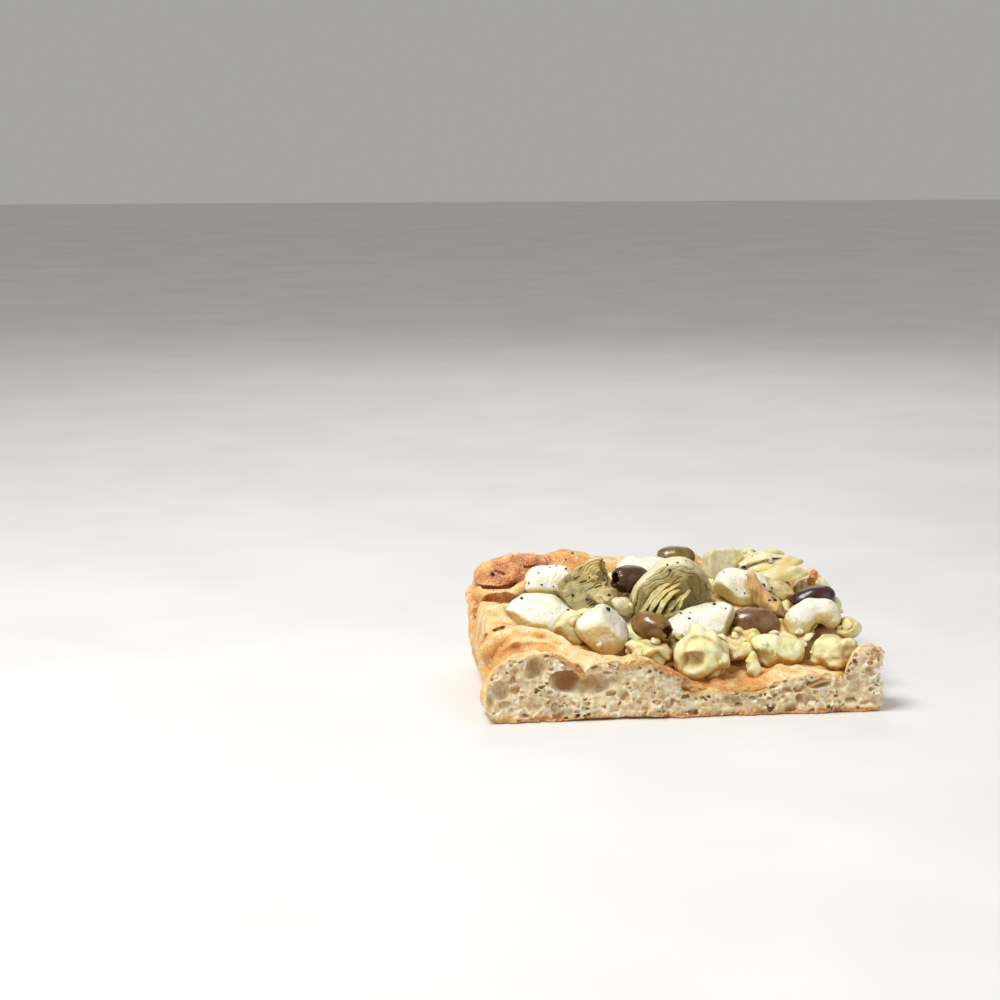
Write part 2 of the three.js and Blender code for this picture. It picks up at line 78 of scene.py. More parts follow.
# Swells of the top: a rounded ridge from one crest point to the other, its half width and its rounding.
SWELLS = [
    ((-53, 26, 39.5), (-42, 33, 40.6), 14, 17),
    ((-31, 33, 40.6), (-24, 35, 40.4), 12.5, 15),
    ((-18, 37, 38), (18, 38, 36.4), 12, 17),
    ((18, 38, 36.4), (66, 36, 30.5), 12, 15),
    ((-59.5, 16, 28.5), (-59, -8, 27.5), 11, 16),
    ((-59, -12, 26.5), (-46, -29, 22), 10.5, 14),
    ((-46, -28, 22.6), (-24, -45, 20.9), 9.5, 13),
    ((-24, -48, 20.6), (-17, -47, 20.2), 16, 13),
    ((-57, -48, 22.6), (-46, -48, 24.6), 11.5, 15),
    ((-44, -10, 20.5), (-30, -14, 20), 19, 11),
    ((-42, 6, 25.5), (-30, 15, 28), 18, 14),
    ((63, -49, 24.8), (66, -40, 22), 9, 16),
    ((46, -49, 14.4), (38, -40, 14.6), 13, 9),
]

# Bubbles that the front cut lays open: x and z of the centre, half width, half height and depth.
FRONT_PORES = [
    (-40.2, 14.0, 6.4, 4.6, 9), (-32.4, 12.2, 7.6, 4.2, 6.5), (-26, 13.4, 4.4, 2.4, 4),
    (-50.9, 18.7, 3.9, 3.9, 6), (-62.3, 11.4, 3.4, 4.2, 5), (-66, 8.4, 1.7, 4.6, 3), (-58.2, 17.6, 2, 2, 3),
    (-54.6, 13.6, 2.6, 2.5, 2.5), (-51.5, 6.3, 3.1, 2.8, 4), (-54.2, 2.4, 2, 1.1, 3),
    (-44.2, 4.6, 1.9, 1.8, 3), (-59.3, 4.1, 1.5, 1.9, 2.5), (-26.6, 15.6, 2.4, 1.3, 4),
    (-39.4, 3.6, 1.2, 1.6, 2), (-5.8, 11.6, 4.2, 3.3, 1.8), (14.6, 5.9, 2.4, 1.9, 4),
    (18.2, 3.4, 1.7, 1.4, 4), (22.4, 5.9, 1.8, 0.9, 3), (26.6, 3.9, 2.2, 1.6, 2), (3.1, 6.4, 1.5, 1.2, 2),
    (31.2, 6.6, 1.3, 1.3, 3), (39.8, 5.2, 2.4, 1.9, 5), (45.6, 10, 4.2, 1.7, 7), (58.8, 8.3, 3, 3, 4),
    (63.6, 14, 2.4, 2.6, 4), (52, 9.6, 1.7, 1.4, 2.5), (62, 3, 2.2, 1.1, 2.5), (47.6, 5.4, 2.6, 1.8, 2),
    (-13.8, 4.2, 1.6, 1, 2), (-5.6, 4.6, 1.4, 1, 2),
]


# ---- uneven fields ----
def randoms(seed, count):
    """Seeded draws in [0, 1): a 32-bit counter stirred by multiplying and shifting."""
    out, state, full = [], seed & 0xFFFFFFFF, 0xFFFFFFFF
    for _ in range(count):
        state = (state + 0x6D2B79F5) & full
        t = ((state ^ (state >> 15)) * (1 | state)) & full
        t = ((t + (((t ^ (t >> 7)) * (61 | t)) & full)) ^ t) & full
        out.append(((t ^ (t >> 14)) & full) / 4294967296)
    return out


def unevenness(seed, length):
    """A smooth field of about [-1, 1]: six sine waves of about the given length in seeded directions."""
    draws = iter(randoms(seed, 24))
    waves = []
    for _ in range(6):
        turn, rise = next(draws) * math.tau, next(draws) * 2 - 1
        flat = math.sqrt(1 - rise * rise)
        k = math.tau / length * (0.7 + 0.8 * next(draws))
        waves.append((k * flat * math.cos(turn), k * flat * math.sin(turn), k * rise,
                      next(draws) * math.tau))
    return lambda x, y, z: sum(np.sin(a * x + b * y + c * z + d) for a, b, c, d in waves) / 3


def cloud(x, y, z, size, seed):
    """Value noise of about [-1, 1] at points: random values on a lattice `size` apart, eased in between."""
    table = np.random.RandomState(seed).uniform(-1, 1, (TABLE, TABLE, TABLE)).astype(np.float32)
    cell, ease = [], []
    for p in (x, y, z):
        p = np.asarray(p, np.float64) / size + 320.37
        low = np.floor(p)
        t = p - low
        cell.append(low.astype(np.int64) % TABLE)
        ease.append(t * t * (3 - 2 * t))
    total = 0
    for i in (0, 1):
        for j in (0, 1):
            for k in (0, 1):
                weight = (ease[0] if i else 1 - ease[0]) * (ease[1] if j else 1 - ease[1])
                weight = weight * (ease[2] if k else 1 - ease[2])
                total = total + weight * table[(cell[0] + i) % TABLE, (cell[1] + j) % TABLE,
                                               (cell[2] + k) % TABLE]
    return total * 1.4


def cloud_grid(xs, ys, zs, size, seed):
    """The same kind of noise on a whole grid of points, as three products of small weight matrices."""
    rows, shape = [], []
    for axis in (xs, ys, zs):
        p = (axis - axis[0]) / size
        low = np.floor(p).astype(int)
        t = p - low
        weights = np.zeros((len(axis), low[-1] + 4), np.float32)
        index = np.arange(len(axis))
        weights[index, low] = (1 - t) ** 3 / 6
        weights[index, low + 1] = (3 * t ** 3 - 6 * t ** 2 + 4) / 6
        weights[index, low + 2] = (-3 * t ** 3 + 3 * t ** 2 + 3 * t + 1) / 6
        weights[index, low + 3] = t ** 3 / 6
        rows.append(weights)
        shape.append(low[-1] + 4)
    values = np.random.RandomState(seed).uniform(-2.6, 2.6, shape).astype(np.float32)
    values = np.tensordot(rows[0], values, (1, 0))
    values = np.tensordot(rows[1], values, (1, 1)).transpose(1, 0, 2)
    return np.tensordot(values, rows[2], (2, 1))


def smooth(x):
    x = np.clip(x, 0, 1)
    return x * x * (3 - 2 * x)


def soft_max(a, b, k):
    """The larger of two fields, rounded over by k where they meet."""
    h = np.clip(0.5 + 0.5 * (a - b) / k, 0, 1)
    return b + (a - b) * h + k * h * (1 - h)


def soft_min(a, b, k):
    return -soft_max(-a, -b, k)


def spread(values, axis):
    """Values along one axis, shaped to work with the whole grid."""
    return values.reshape([-1 if axis == j else 1 for j in range(3)])


def spans_of(axes, low, high):
    """The slices of the axes that hold a box, or None where it misses the grid."""
    spans = tuple(slice(np.searchsorted(a, p), np.searchsorted(a, q)) for a, p, q in zip(axes, low, high))
    return None if any(s.stop - s.start < 2 for s in spans) else spans


# ---- surfaces ----
def skin(field, xs, ys, zs):
    """The surface where a field on a grid passes zero, inside below zero: one point in each cell that the
    surface crosses, at the mean of its crossings of the cell's edges, and a quad round each grid edge that
    it crosses."""
    inside = field < 0
    count = np.zeros(tuple(n - 1 for n in field.shape), np.int8)
    for i in (0, 1):
        for j in (0, 1):
            for k in (0, 1):
                count += inside[i:i - 1 or None, j:j - 1 or None, k:k - 1 or None]
    cells = np.argwhere((count > 0) & (count < 8))
    number = np.full(count.shape, -1, np.int32)
    number[tuple(cells.T)] = np.arange(len(cells))
    axes = (xs, ys, zs)
    total = np.zeros((len(cells), 3))
    crossings = np.zeros(len(cells))
    for axis in range(3):
        others = [a for a in range(3) if a != axis]
        for i in (0, 1):
            for j in (0, 1):
                low = cells.copy()
                low[:, others[0]] += i
                low[:, others[1]] += j
                high = low.copy()
                high[:, axis] += 1
                a, b = field[tuple(low.T)], field[tuple(high.T)]
                hit = (a < 0) != (b < 0)
                t = np.where(hit, a / np.where(hit, a - b, 1), 0)
                for c in range(3):
                    place = axes[c][low[:, c]] + (t * (axes[c][high[:, c]] - axes[c][low[:, c]])
                                                  if c == axis else 0)
                    total[:, c] += np.where(hit, place, 0)
                crossings += hit
    points = total / crossings[:, None]
    quads = []
    for axis in range(3):
        one, two = [(1, 2), (2, 0), (0, 1)][axis]
        shape = [slice(1, -1)] * 3
        shape[axis] = slice(0, field.shape[axis] - 1)
        up = [slice(1, -1)] * 3
        up[axis] = slice(1, field.shape[axis])
        first, second = inside[tuple(shape)], inside[tuple(up)]
        for flip in (False, True):
            edges = np.argwhere((first & ~second) if not flip else (~first & second))
            offset = np.array([0 if a == axis else 1 for a in range(3)])
            corner = edges + offset
            back_one, back_two = corner.copy(), corner.copy()
            back_one[:, one] -= 1
            back_two[:, two] -= 1
            both = back_one.copy()
            both[:, two] -= 1
            ring = [number[tuple(c.T)] for c in (corner, back_one, both, back_two)]
            quads.append(np.stack(ring[::-1] if flip else ring, 1))
    return points, np.concatenate(quads)


def make_mesh(name, points, faces, attributes=None):
    """A mesh object from points in millimetres and a list of arrays of triangles or quads."""
    mesh = bpy.data.meshes.new(name)
    points = np.asarray(points, np.float64)
    volume = sum(np.einsum("ij,ij->i", points[f[:, 0]], np.cross(points[f[:, i]], points[f[:, i + 1]])).sum()
                 for f in map(np.asarray, faces) for i in range(1, f.shape[1] - 1))
    if volume < 0:
        faces = [np.asarray(f)[:, ::-1] for f in faces]
    points = points.astype(np.float32) * MM
    mesh.vertices.add(len(points))
    mesh.vertices.foreach_set("co", points.ravel())
    corners = np.concatenate([np.asarray(f, np.int32).ravel() for f in faces])
    sizes = np.concatenate([np.full(len(f), np.shape(f)[1], np.int32) for f in faces])
    mesh.loops.add(len(corners))
    mesh.loops.foreach_set("vertex_index", corners)
    mesh.polygons.add(len(sizes))
    mesh.polygons.foreach_set("loop_start", np.concatenate([[0], np.cumsum(sizes)[:-1]]).astype(np.int32))
    mesh.polygons.foreach_set("use_smooth", np.ones(len(sizes), bool))
    mesh.update(calc_edges=True)
    mesh.validate()
    piece = bpy.data.objects.new(name, mesh)
    bpy.context.scene.collection.objects.link(piece)
    if attributes:
        set_values(mesh, attributes)
    return piece


def set_values(mesh, attributes):
    for name, values in attributes.items():
        layer = mesh.attributes.new(name, "FLOAT", "POINT")
        layer.data.foreach_set("value", np.asarray(values, np.float32).ravel())


def set_leaf(mesh, places):
    """Places on a leaf in millimetres: along it, across it and from layer to layer. Its fibres follow
    them."""
    layer = mesh.attributes.new("leaf", "FLOAT_VECTOR", "POINT")
    layer.data.foreach_set("vector", places.astype(np.float32).ravel())


def points_of(mesh):
    """The mesh's points in millimetres."""
    out = np.empty(len(mesh.vertices) * 3, np.float32)
    mesh.vertices.foreach_get("co", out)
    return out.reshape(-1, 3) / MM


def normals_of(mesh):
    out = np.empty(len(mesh.vertices) * 3, np.float32)
    mesh.vertex_normals.foreach_get("vector", out)
    return out.reshape(-1, 3)


def box_blur(field, width):
    """The mean over a box of so many cells along each axis."""
    for axis in range(3):
        field = np.moveaxis(field, axis, 0)
        total = np.concatenate([np.zeros((1, *field.shape[1:]), np.float32),
                                np.cumsum(field, 0, dtype=np.float32)])
        index = np.arange(len(field))
        high, low = np.minimum(index + width // 2 + 1, len(field)), np.maximum(index - width // 2, 0)
        field = np.moveaxis((total[high] - total[low]) / width, 0, axis)
    return field


def thin_out(piece, triangles):
    """Collapses edges where the surface is plain until about that many triangles are left."""
    piece.data.calc_loop_triangles()
    now = len(piece.data.loop_triangles)
    if now <= triangles:
        return
    modifier = piece.modifiers.new("thin", "DECIMATE")
    modifier.ratio = triangles / now
    bpy.context.view_layer.update()
    thinned = bpy.data.meshes.new_from_object(piece.evaluated_get(bpy.context.evaluated_depsgraph_get()))
    piece.modifiers.clear()
    old = piece.data
    piece.data = thinned
    bpy.data.meshes.remove(old)
    thinned.name = piece.name
    thinned.polygons.foreach_set("use_smooth", np.ones(len(thinned.polygons), bool))


def tube_faces(rows, columns):
    """Faces of a tube of so many rings of points, closed by two more points: one before its first ring and
    one after its last."""
    index = np.arange(rows * columns).reshape(rows, columns)
    right = np.roll(index, -1, 1)
    quads = np.stack([index[:-1], right[:-1], right[1:], index[1:]], -1).reshape(-1, 4)
    first = np.stack([right[0], index[0], np.full(columns, rows * columns)], 1)
    last = np.stack([index[-1], right[-1], np.full(columns, rows * columns + 1)], 1)
    return [quads, first, last]


def ball_grid(rows, columns):
    """Directions over a ball: a ring of points at each latitude between the poles, and a point at each
    pole."""
    a = np.linspace(0, math.pi, rows + 2)[1:-1, None]
    b = np.linspace(0, math.tau, columns, endpoint=False)[None, :]
    points = np.stack([np.cos(a) * np.ones_like(b), np.sin(a) * np.cos(b), np.sin(a) * np.sin(b)], -1)
    return np.concatenate([points.reshape(-1, 3), [[1, 0, 0], [-1, 0, 0]]]), tube_faces(rows, columns)


def turned(points, at, turn):
    """Points turned about X, then Y, then Z by degrees, and moved to their place."""
    a, b, c = (math.radians(t) for t in turn)
    rx = np.array([[1, 0, 0], [0, math.cos(a), -math.sin(a)], [0, math.sin(a), math.cos(a)]])
    ry = np.array([[math.cos(b), 0, math.sin(b)], [0, 1, 0], [-math.sin(b), 0, math.cos(b)]])
    rz = np.array([[math.cos(c), -math.sin(c), 0], [math.sin(c), math.cos(c), 0], [0, 0, 1]])
    return points @ (rz @ ry @ rx).T + np.asarray(at)


# ---- materials ----
def linear(red, green, blue):
    """A colour given in 0 to 255 as seen, as the light that it reflects."""
    out = []
    for c in (red / 255, green / 255, blue / 255):
        out.append(c / 12.92 if c <= 0.04045 else ((c + 0.055) / 1.055) ** 2.4)
    return (*out, 1)


class Paint:
    """A material's nodes: each call adds one node and gives back its output."""

    def __init__(self, name, **surface):
        self.material = bpy.data.materials.new(name)
        self.material.use_nodes = True
        self.tree = self.material.node_tree
        self.shader = self.tree.nodes["Principled BSDF"]
        for key, value in surface.items():
            self.shader.inputs[key.replace("_", " ").title()].default_value = value
        self.coordinates = self.node("ShaderNodeTexCoord").outputs["Object"]

    def node(self, kind, **settings):
        node = self.tree.nodes.new(kind)
        for key, value in settings.items():
            setattr(node, key, value)
        return node

    def link(self, value, socket):
        if hasattr(value, "is_linked"):
            self.tree.links.new(value, socket)
        else:
            socket.default_value = value

    def noise(self, size, detail=3.0, rough=0.55, stretch=None, vector=None):
        """Noise in features of `size` mm; stretch scales the pattern's axes."""
        node = self.node("ShaderNodeTexNoise")
        node.inputs["Scale"].default_value = 1 / (size * MM)
        node.inputs["Detail"].default_value = detail
        node.inputs["Roughness"].default_value = rough
        source = vector or self.coordinates
        if stretch:
            mapping = self.node("ShaderNodeMapping")
            mapping.inputs["Scale"].default_value = stretch
            self.link(source, mapping.inputs["Vector"])
            source = mapping.outputs[0]
        self.link(source, node.inputs["Vector"])
        return node.outputs["Fac"]

    def cells(self, size):
        """The distance to the nearest of scattered points, `size` mm apart."""
        node = self.node("ShaderNodeTexVoronoi")
        node.inputs["Scale"].default_value = 1 / (size * MM)
        self.link(self.coordinates, node.inputs["Vector"])
        return node.outputs["Distance"]

    def ramp(self, value, *stops, ease="EASE"):
        """Stops are (place, colour or number)."""
        node = self.node("ShaderNodeValToRGB")
        node.color_ramp.interpolation = ease
        elements = node.color_ramp.elements
        while len(elements) < len(stops):
            elements.new(0.5)
        for element, (place, colour) in zip(elements, stops):
            element.position = place
            element.color = colour if isinstance(colour, tuple) else (colour, colour, colour, 1)
        self.link(value, node.inputs[0])
        return node.outputs[0]

    def mix(self, factor, a, b):
        node = self.node("ShaderNodeMix", data_type="RGBA")
        self.link(factor, node.inputs[0])
        self.link(a, node.inputs[6])
        self.link(b, node.inputs[7])
        return node.outputs[2]

    def toward(self, colour, other, value, start, end, most=1.0):
        """The colour, giving way to another (0 to 255) as a value goes from start to end."""
        return self.mix(self.ramp(value, (start, 0.0), (end, most)), colour, linear(*other))

    def varied(self, total, value, amount):
        """A total with so much of a value about one half added."""
        return self.math("ADD", total, self.math("MULTIPLY", self.math("SUBTRACT", value, 0.5), amount))

    def math(self, operation, a, b):
        node = self.node("ShaderNodeMath", operation=operation)
        self.link(a, node.inputs[0])
        self.link(b, node.inputs[1])
        return node.outputs[0]

    def value(self, name):
        return self.node("ShaderNodeAttribute", attribute_name=name).outputs["Fac"]

    def bump(self, height, depth, strength):
        node = self.node("ShaderNodeBump")
        node.inputs["Strength"].default_value = strength
        node.inputs["Distance"].default_value = depth * MM
        self.link(height, node.inputs["Height"])
        return node.outputs[0]

    def finish(self, colour, roughness=None, normal=None):
        for value, socket in ((colour, "Base Color"), (roughness, "Roughness"), (normal, "Normal")):
            if value is not None:
                self.link(value, self.shader.inputs[socket])
        return self.material


def bread_paint(look):
    """Crumb, pale on its walls, with painted shade in its cells that grows warmer and darker further in,
    under a crust whose baking runs from floury pale on its crests through gold and orange to reddish brown
    on the toasted bubbles;
    its folds and the places that other pieces close in are pushed towards orange and brown as painted shade."""
    p = Paint("bread_crumb_and_crust", subsurface_weight=0.45, subsurface_scale=0.0025)
    p.shader.inputs["Subsurface Radius"].default_value = (1.0, 0.6, 0.3)
    crust, toast, deep, pit, fold, near = (p.value(n)
                                           for n in ("crust", "toast", "deep", "pit", "fold", "near"))
    fine, mid, broad = p.noise(0.5, 4), p.noise(1.8, 4), p.noise(7, 3)
    crumb = p.mix(p.ramp(mid, (0.35, 0.0), (0.68, 1.0)), linear(*look.crumb_dark), linear(*look.crumb_light))
    # Painted shade in the open bubbles: warmer and darker where the surface lies inside a cell (pit) and
    # further in from the cut (deep).
    crumb = p.toward(crumb, look.cavity_shade, pit, 0.2, 0.62, 0.9)
    crumb = p.toward(crumb, look.cavity_deep_shade, deep, 0.25, 0.95, 0.8)
    # Painted shade in the folds: the fold mask pushes the crust towards orange and brown.
    bake = p.math("ADD", toast, p.ramp(fold, (0.12, 0.0), (0.45, 0.5), ease="LINEAR"))
    bake = p.varied(bake, p.noise(0.8, 3, 0.65), 1.1)
    bake = p.varied(bake, mid, 0.5)
    bake = p.varied(bake, broad, 0.7)
    # Painted shade where other pieces close the crust in.
    bake = p.math("ADD", bake, p.ramp(near, (0.3, 0.0), (0.7, 0.2)))
    top = p.ramp(bake, (0.0, linear(*look.crust_pale)), (0.3, linear(*look.crust_gold)),
                 (0.55, linear(*look.crust_orange)), (0.78, linear(*look.crust_brown)),
                 (1.0, linear(*look.crust_dark)), ease="LINEAR")
    floury = p.math("MULTIPLY", p.ramp(p.noise(4.5, 5, 0.65), (0.47, 0.0), (0.62, 0.9)),
                    p.ramp(fine, (0.42, 0.1), (0.6, 1.0)))
    floury = p.math("MULTIPLY", floury, p.ramp(bake, (0.35, 1.0), (0.6, 0.1)))
    top = p.mix(floury, top, linear(252, 234, 194))
    flecks = p.math("MULTIPLY", p.ramp(p.cells(0.9), (0.14, 1.0), (0.4, 0.0)),
                    p.ramp(bake, (0.4, 0.0), (0.7, 0.75)))
    top = p.mix(flecks, top, linear(*look.crust_fleck))
    seeds = p.math("MULTIPLY", p.ramp(p.cells(0.8), (0.1, 1.0), (0.26, 0.0)),
                   p.ramp(p.noise(3, 2), (0.42, 0.0), (0.58, 0.8)))
    top = p.mix(seeds, top, linear(250, 226, 190))
    # Painted shade under and between other pieces.
    top = p.toward(top, look.crust_shade, near, 0.3, 0.75, 0.55)
    colour = p.mix(crust, crumb, top)
    rough = p.mix(crust, (0.85, 0.85, 0.85, 1), p.ramp(fine, (0.3, 0.36), (0.7, 0.62)))
    height = p.math("ADD", p.math("MULTIPLY", fine, 0.6), p.math("MULTIPLY", mid, 0.5))
    height = p.math("ADD", height, p.math("MULTIPLY", p.ramp(p.cells(1.1), (0.1, 1.0), (0.5, 0.0)), 0.25))
    return p.finish(colour, rough, p.bump(height, 0.5, 1.0))


# ---- bread ----
def bread_top(x, y):
    """Height of the top: a rising floor and the swells, joined by the log of the sum of their
    exponentials."""
    total = np.exp((FLOOR + FLOOR_RISE * (y - FRONT_Y)) / BLEND - 20)
    for (ax, ay, az), (bx, by, bz), wide, deep in SWELLS:
        long = (bx - ax) ** 2 + (by - ay) ** 2
        along = np.clip(((x - ax) * (bx - ax) + (y - ay) * (by - ay)) / long, 0, 1)
        away = np.hypot(x - ax - (bx - ax) * along, y - ay - (by - ay) * along) / wide
        height = az + (bz - az) * along - deep * (1 - np.sqrt(np.clip(1 - away * away, 0, 1)))
        total = total + np.where(away < 1, np.exp(height / BLEND - 20), 0)
    crags, waviness = unevenness(11, 7), unevenness(12, 26)
    return BLEND * (np.log(total) + 20) + 0.45 * crags(x, y, 0) + 0.5 * waviness(x, y, 0)


def side_distance(x, y):
    """How far a point of the plan lies outside the browned left and back sides, with their rounded
    corner."""
    left = LEFT_X - BULGE / 2 + LEFT_SLANT * smooth(2 * (y - FRONT_Y) / (BACK_Y + BULGE / 2 - FRONT_Y))
    back = BACK_Y + BULGE / 2
    cx, cy = left + CORNER, back - CORNER
    round_corner = np.hypot(x - cx, y - cy) - CORNER
    return np.where((x < cx) & (y > cy), round_corner, np.maximum(left - x, y - back))


def outer_field(z, top, side):
    """Below zero inside the bread without its bubbles: under the top and within the swollen sides."""
    part = z / np.maximum(top, 1)
    swell = np.interp(part, [0, 0.1, 0.38, 0.72, 1.0, 1.4], [-0.5, -0.06, 0.44, 0.49, 0.1, -0.6])
    wall = side - BULGE * swell
    return soft_max((z - top) * 0.8, wall, 2.2)


# Cells added to each place of the foam, so that its lattice counts from above zero.
PADDING = 40


def foam(xs, ys, zs, size, seed, warp):
    """Cells of a foam on a grid: half the difference of the distances to the two nearest of seeded points,
    one in each box of a lattice, the distance to the nearest and its place."""
    shape = (len(xs), len(ys), len(zs))
    p = [np.broadcast_to(spread(a, i), shape) / s + PADDING + w
         for i, (a, s, w) in enumerate(zip((xs, ys, zs), size, warp))]
    cell = [np.floor(c).astype(np.int32) for c in p]
    table = np.random.RandomState(seed).uniform(0.08, 0.92, (3, TABLE, TABLE, TABLE)).astype(np.float32)
    one = np.full(shape, 9, np.float32)
    two = one.copy()
    nearest = [np.zeros(shape, np.float32) for _ in range(3)]
    for step in np.ndindex(3, 3, 3):
        c = [a + d - 1 for a, d in zip(cell, step)]
        at = [c[i] + table[i][c[0] % TABLE, c[1] % TABLE, c[2] % TABLE] for i in range(3)]
        away = sum((a - b) ** 2 for a, b in zip(at, p)).astype(np.float32)
        closer = away < one
        two = np.where(closer, one, np.minimum(two, away))
        one = np.where(closer, away, one)
        for i in range(3):
            nearest[i] = np.where(closer, at[i], nearest[i])
    one, two = np.sqrt(one), np.sqrt(two)
    return (two - one) / 2 * min(size), one * min(size), [(n - PADDING) * s for n, s in zip(nearest, size)]


def stroke(field, axes, path, flat=(1, 1, 1), join=0.8, dig=False):
    """Joins a rope to the field, or digs it out as a groove: path points are (x, y, z, radius), and `flat`
    stretches the rope's section along the axes."""
    flat = np.array(flat, float)
    for a, b in zip(path[:-1], path[1:]):
        a, b = np.array(a, float), np.array(b, float)
        reach = (max(a[3], b[3]) + 2 * join + 0.4) * flat
        spans = spans_of(axes, np.minimum(a, b)[:3] - reach, np.maximum(a, b)[:3] + reach)
        if not spans:
            continue
        way = (b[:3] - a[:3]) / flat
        off = [spread((axis[s] - a[i]) / flat[i], i) for i, (axis, s) in enumerate(zip(axes, spans))]
        t = np.clip(sum(o * w for o, w in zip(off, way)) / np.sum(way * way), 0, 1)
        away = np.sqrt(sum((o - t * w) ** 2 for o, w in zip(off, way))) - (a[3] + (b[3] - a[3]) * t)
        field[spans] = soft_max(field[spans], -away, join) if dig else soft_min(field[spans], away, join)


def carve(field, axes, centre, half, warp):
    """Takes an ellipsoid, warped by the shared noise, out of the field round it."""
    reach = np.max(half) * 1.25 + 1.2
    spans = spans_of(axes, np.subtract(centre, reach), np.add(centre, reach))
    if not spans:
        return
    dx, dy, dz = (spread(a[s] - c, i) for i, (a, s, c) in enumerate(zip(axes, spans, centre)))
    dx, dz = dx + warp[0][spans], dz + warp[1][spans]
    away = np.sqrt((dx / half[0]) ** 2 + (dy / half[1]) ** 2 + (dz / half[2]) ** 2)
    ball = (away - 1) * min(half)
    field[spans] = soft_max(field[spans], -ball, 0.22)


# Folds of the crust, as ropes laid along the dough, and the grooves between them.
FOLDS = [
    [(-61, 27, 27.5, 4.2), (-60.5, 18, 28.4, 4.2), (-56.5, 12.6, 29, 3.4), (-51, 12.4, 30.2, 2.6),
     (-45, 16, 33, 2.2)],
    [(-60.5, 3, 25.0, 4.0), (-55, 5.5, 25.6, 3.2), (-50, 3, 23.4, 2.6), (-45, -8, 20.2, 2.4)],
    [(-64, -21, 18.5, 3.0), (-59.5, -20.4, 22.0, 3.0), (-52.7, -19.5, 23.4, 2.8), (-44.5, -20.5, 22.8, 2.5),
     (-40, -26, 21.6, 2.3), (-36.4, -34, 20.0, 2.2), (-33, -43, 18.4, 2.0), (-28.5, -48, 16.4, 1.8)],
    [(-24, -47.6, 18.6, 1.3), (-16, -47.2, 19.6, 1.3), (-9, -47.6, 16.8, 1.2), (-2.5, -47.4, 13.2, 1.2),
     (2.5, -47.2, 10.2, 1.1), (8, -47.2, 8.0, 0.9)],
    [(-63, 22, 20, 3.4), (-64, 6, 15, 3.4), (-63, -10, 14, 3.0)],
    [(-64.2, 31, 27.4, 2.2), (-64.8, 21, 26.6, 2.4), (-64.4, 14, 23, 2.0)],
]
GROOVES = [
    [(-68, 12, 14, 1.5), (-65, 12, 24, 2.4), (-60, 12, 27.6, 2.4), (-54, 11.4, 28.6, 2.0),
     (-48, 10, 27.8, 1.3)],
    [(-65, 26, 31.0, 1.3), (-61, 17.4, 31.2, 1.3), (-56, 15.0, 31.0, 1.2), (-51, 15.6, 32.2, 1.1),
     (-45, 19.6, 35, 0.8)],
    [(-69, -25, 8, 1.2), (-66, -26, 13.6, 1.8), (-61, -26.6, 17.8, 2.2), (-55.4, -27.6, 20.8, 2.4),
     (-48.9, -30.5, 23.0, 2.4), (-43.5, -35, 22.6, 2.1), (-40.4, -42, 21.8, 1.8), (-36.6, -48, 18.8, 1.4)],
    [(-62, -13, 26.9, 0.5), (-56.6, -16, 26.4, 0.7), (-50, -12.5, 24.6, 0.5)],
    [(-60, -9, 28.1, 0.4), (-54, -8, 26.8, 0.6), (-47, -10, 24.4, 0.5)],
    [(-66, -14, 20, 0.8), (-60, -17, 24.8, 0.8), (-54, -16, 25.2, 0.6)],
    [(-37, 30, 40.6, 1.2), (-36, 24, 38.6, 1.1), (-37, 18, 36, 0.8)],
    [(-51, 25, 40.1, 0.6), (-48.6, 23, 39.3, 0.7), (-46, 20.5, 37.8, 0.7), (-41.5, 22.5, 37.8, 0.6)],
    [(-57, 20, 37.3, 0.4), (-53.6, 18, 35.9, 0.5), (-50.4, 17.6, 35.6, 0.5)],
]

# The largest toasted bubble: its centre, its half sizes and its lean.
BLISTER = ((-49.7, 28.0, 34.6), (13.4, 12.4, 6.4), 0.07)

# The bread is divided into three parts at these places, and the parts overlap there by so much.
FRONT_SEAM, RIGHT_SEAM = -44.0, 64.5
OVERLAP = 1.6


def kept(field, axes, sides):
    """The part of the bread below a place on an axis, or above it. Past that place the surface sinks a
    little and then ends, under the part that goes on from there. A side is (axis, place, 1 to keep what is
    below or -1 above)."""
    spans = [slice(None)] * 3
    for axis, place, way in sides:
        past = way * (axes[axis] - place)
        held = np.nonzero(past < OVERLAP)[0]
        spans[axis] = slice(held[0], held[-1] + 1)
        past = spread(past, axis).astype(np.float32)
        field = np.maximum(field + 0.2 * smooth(past / 0.5), past - OVERLAP / 2)
    return field[tuple(spans)], [a[s] for a, s in zip(axes, spans)]


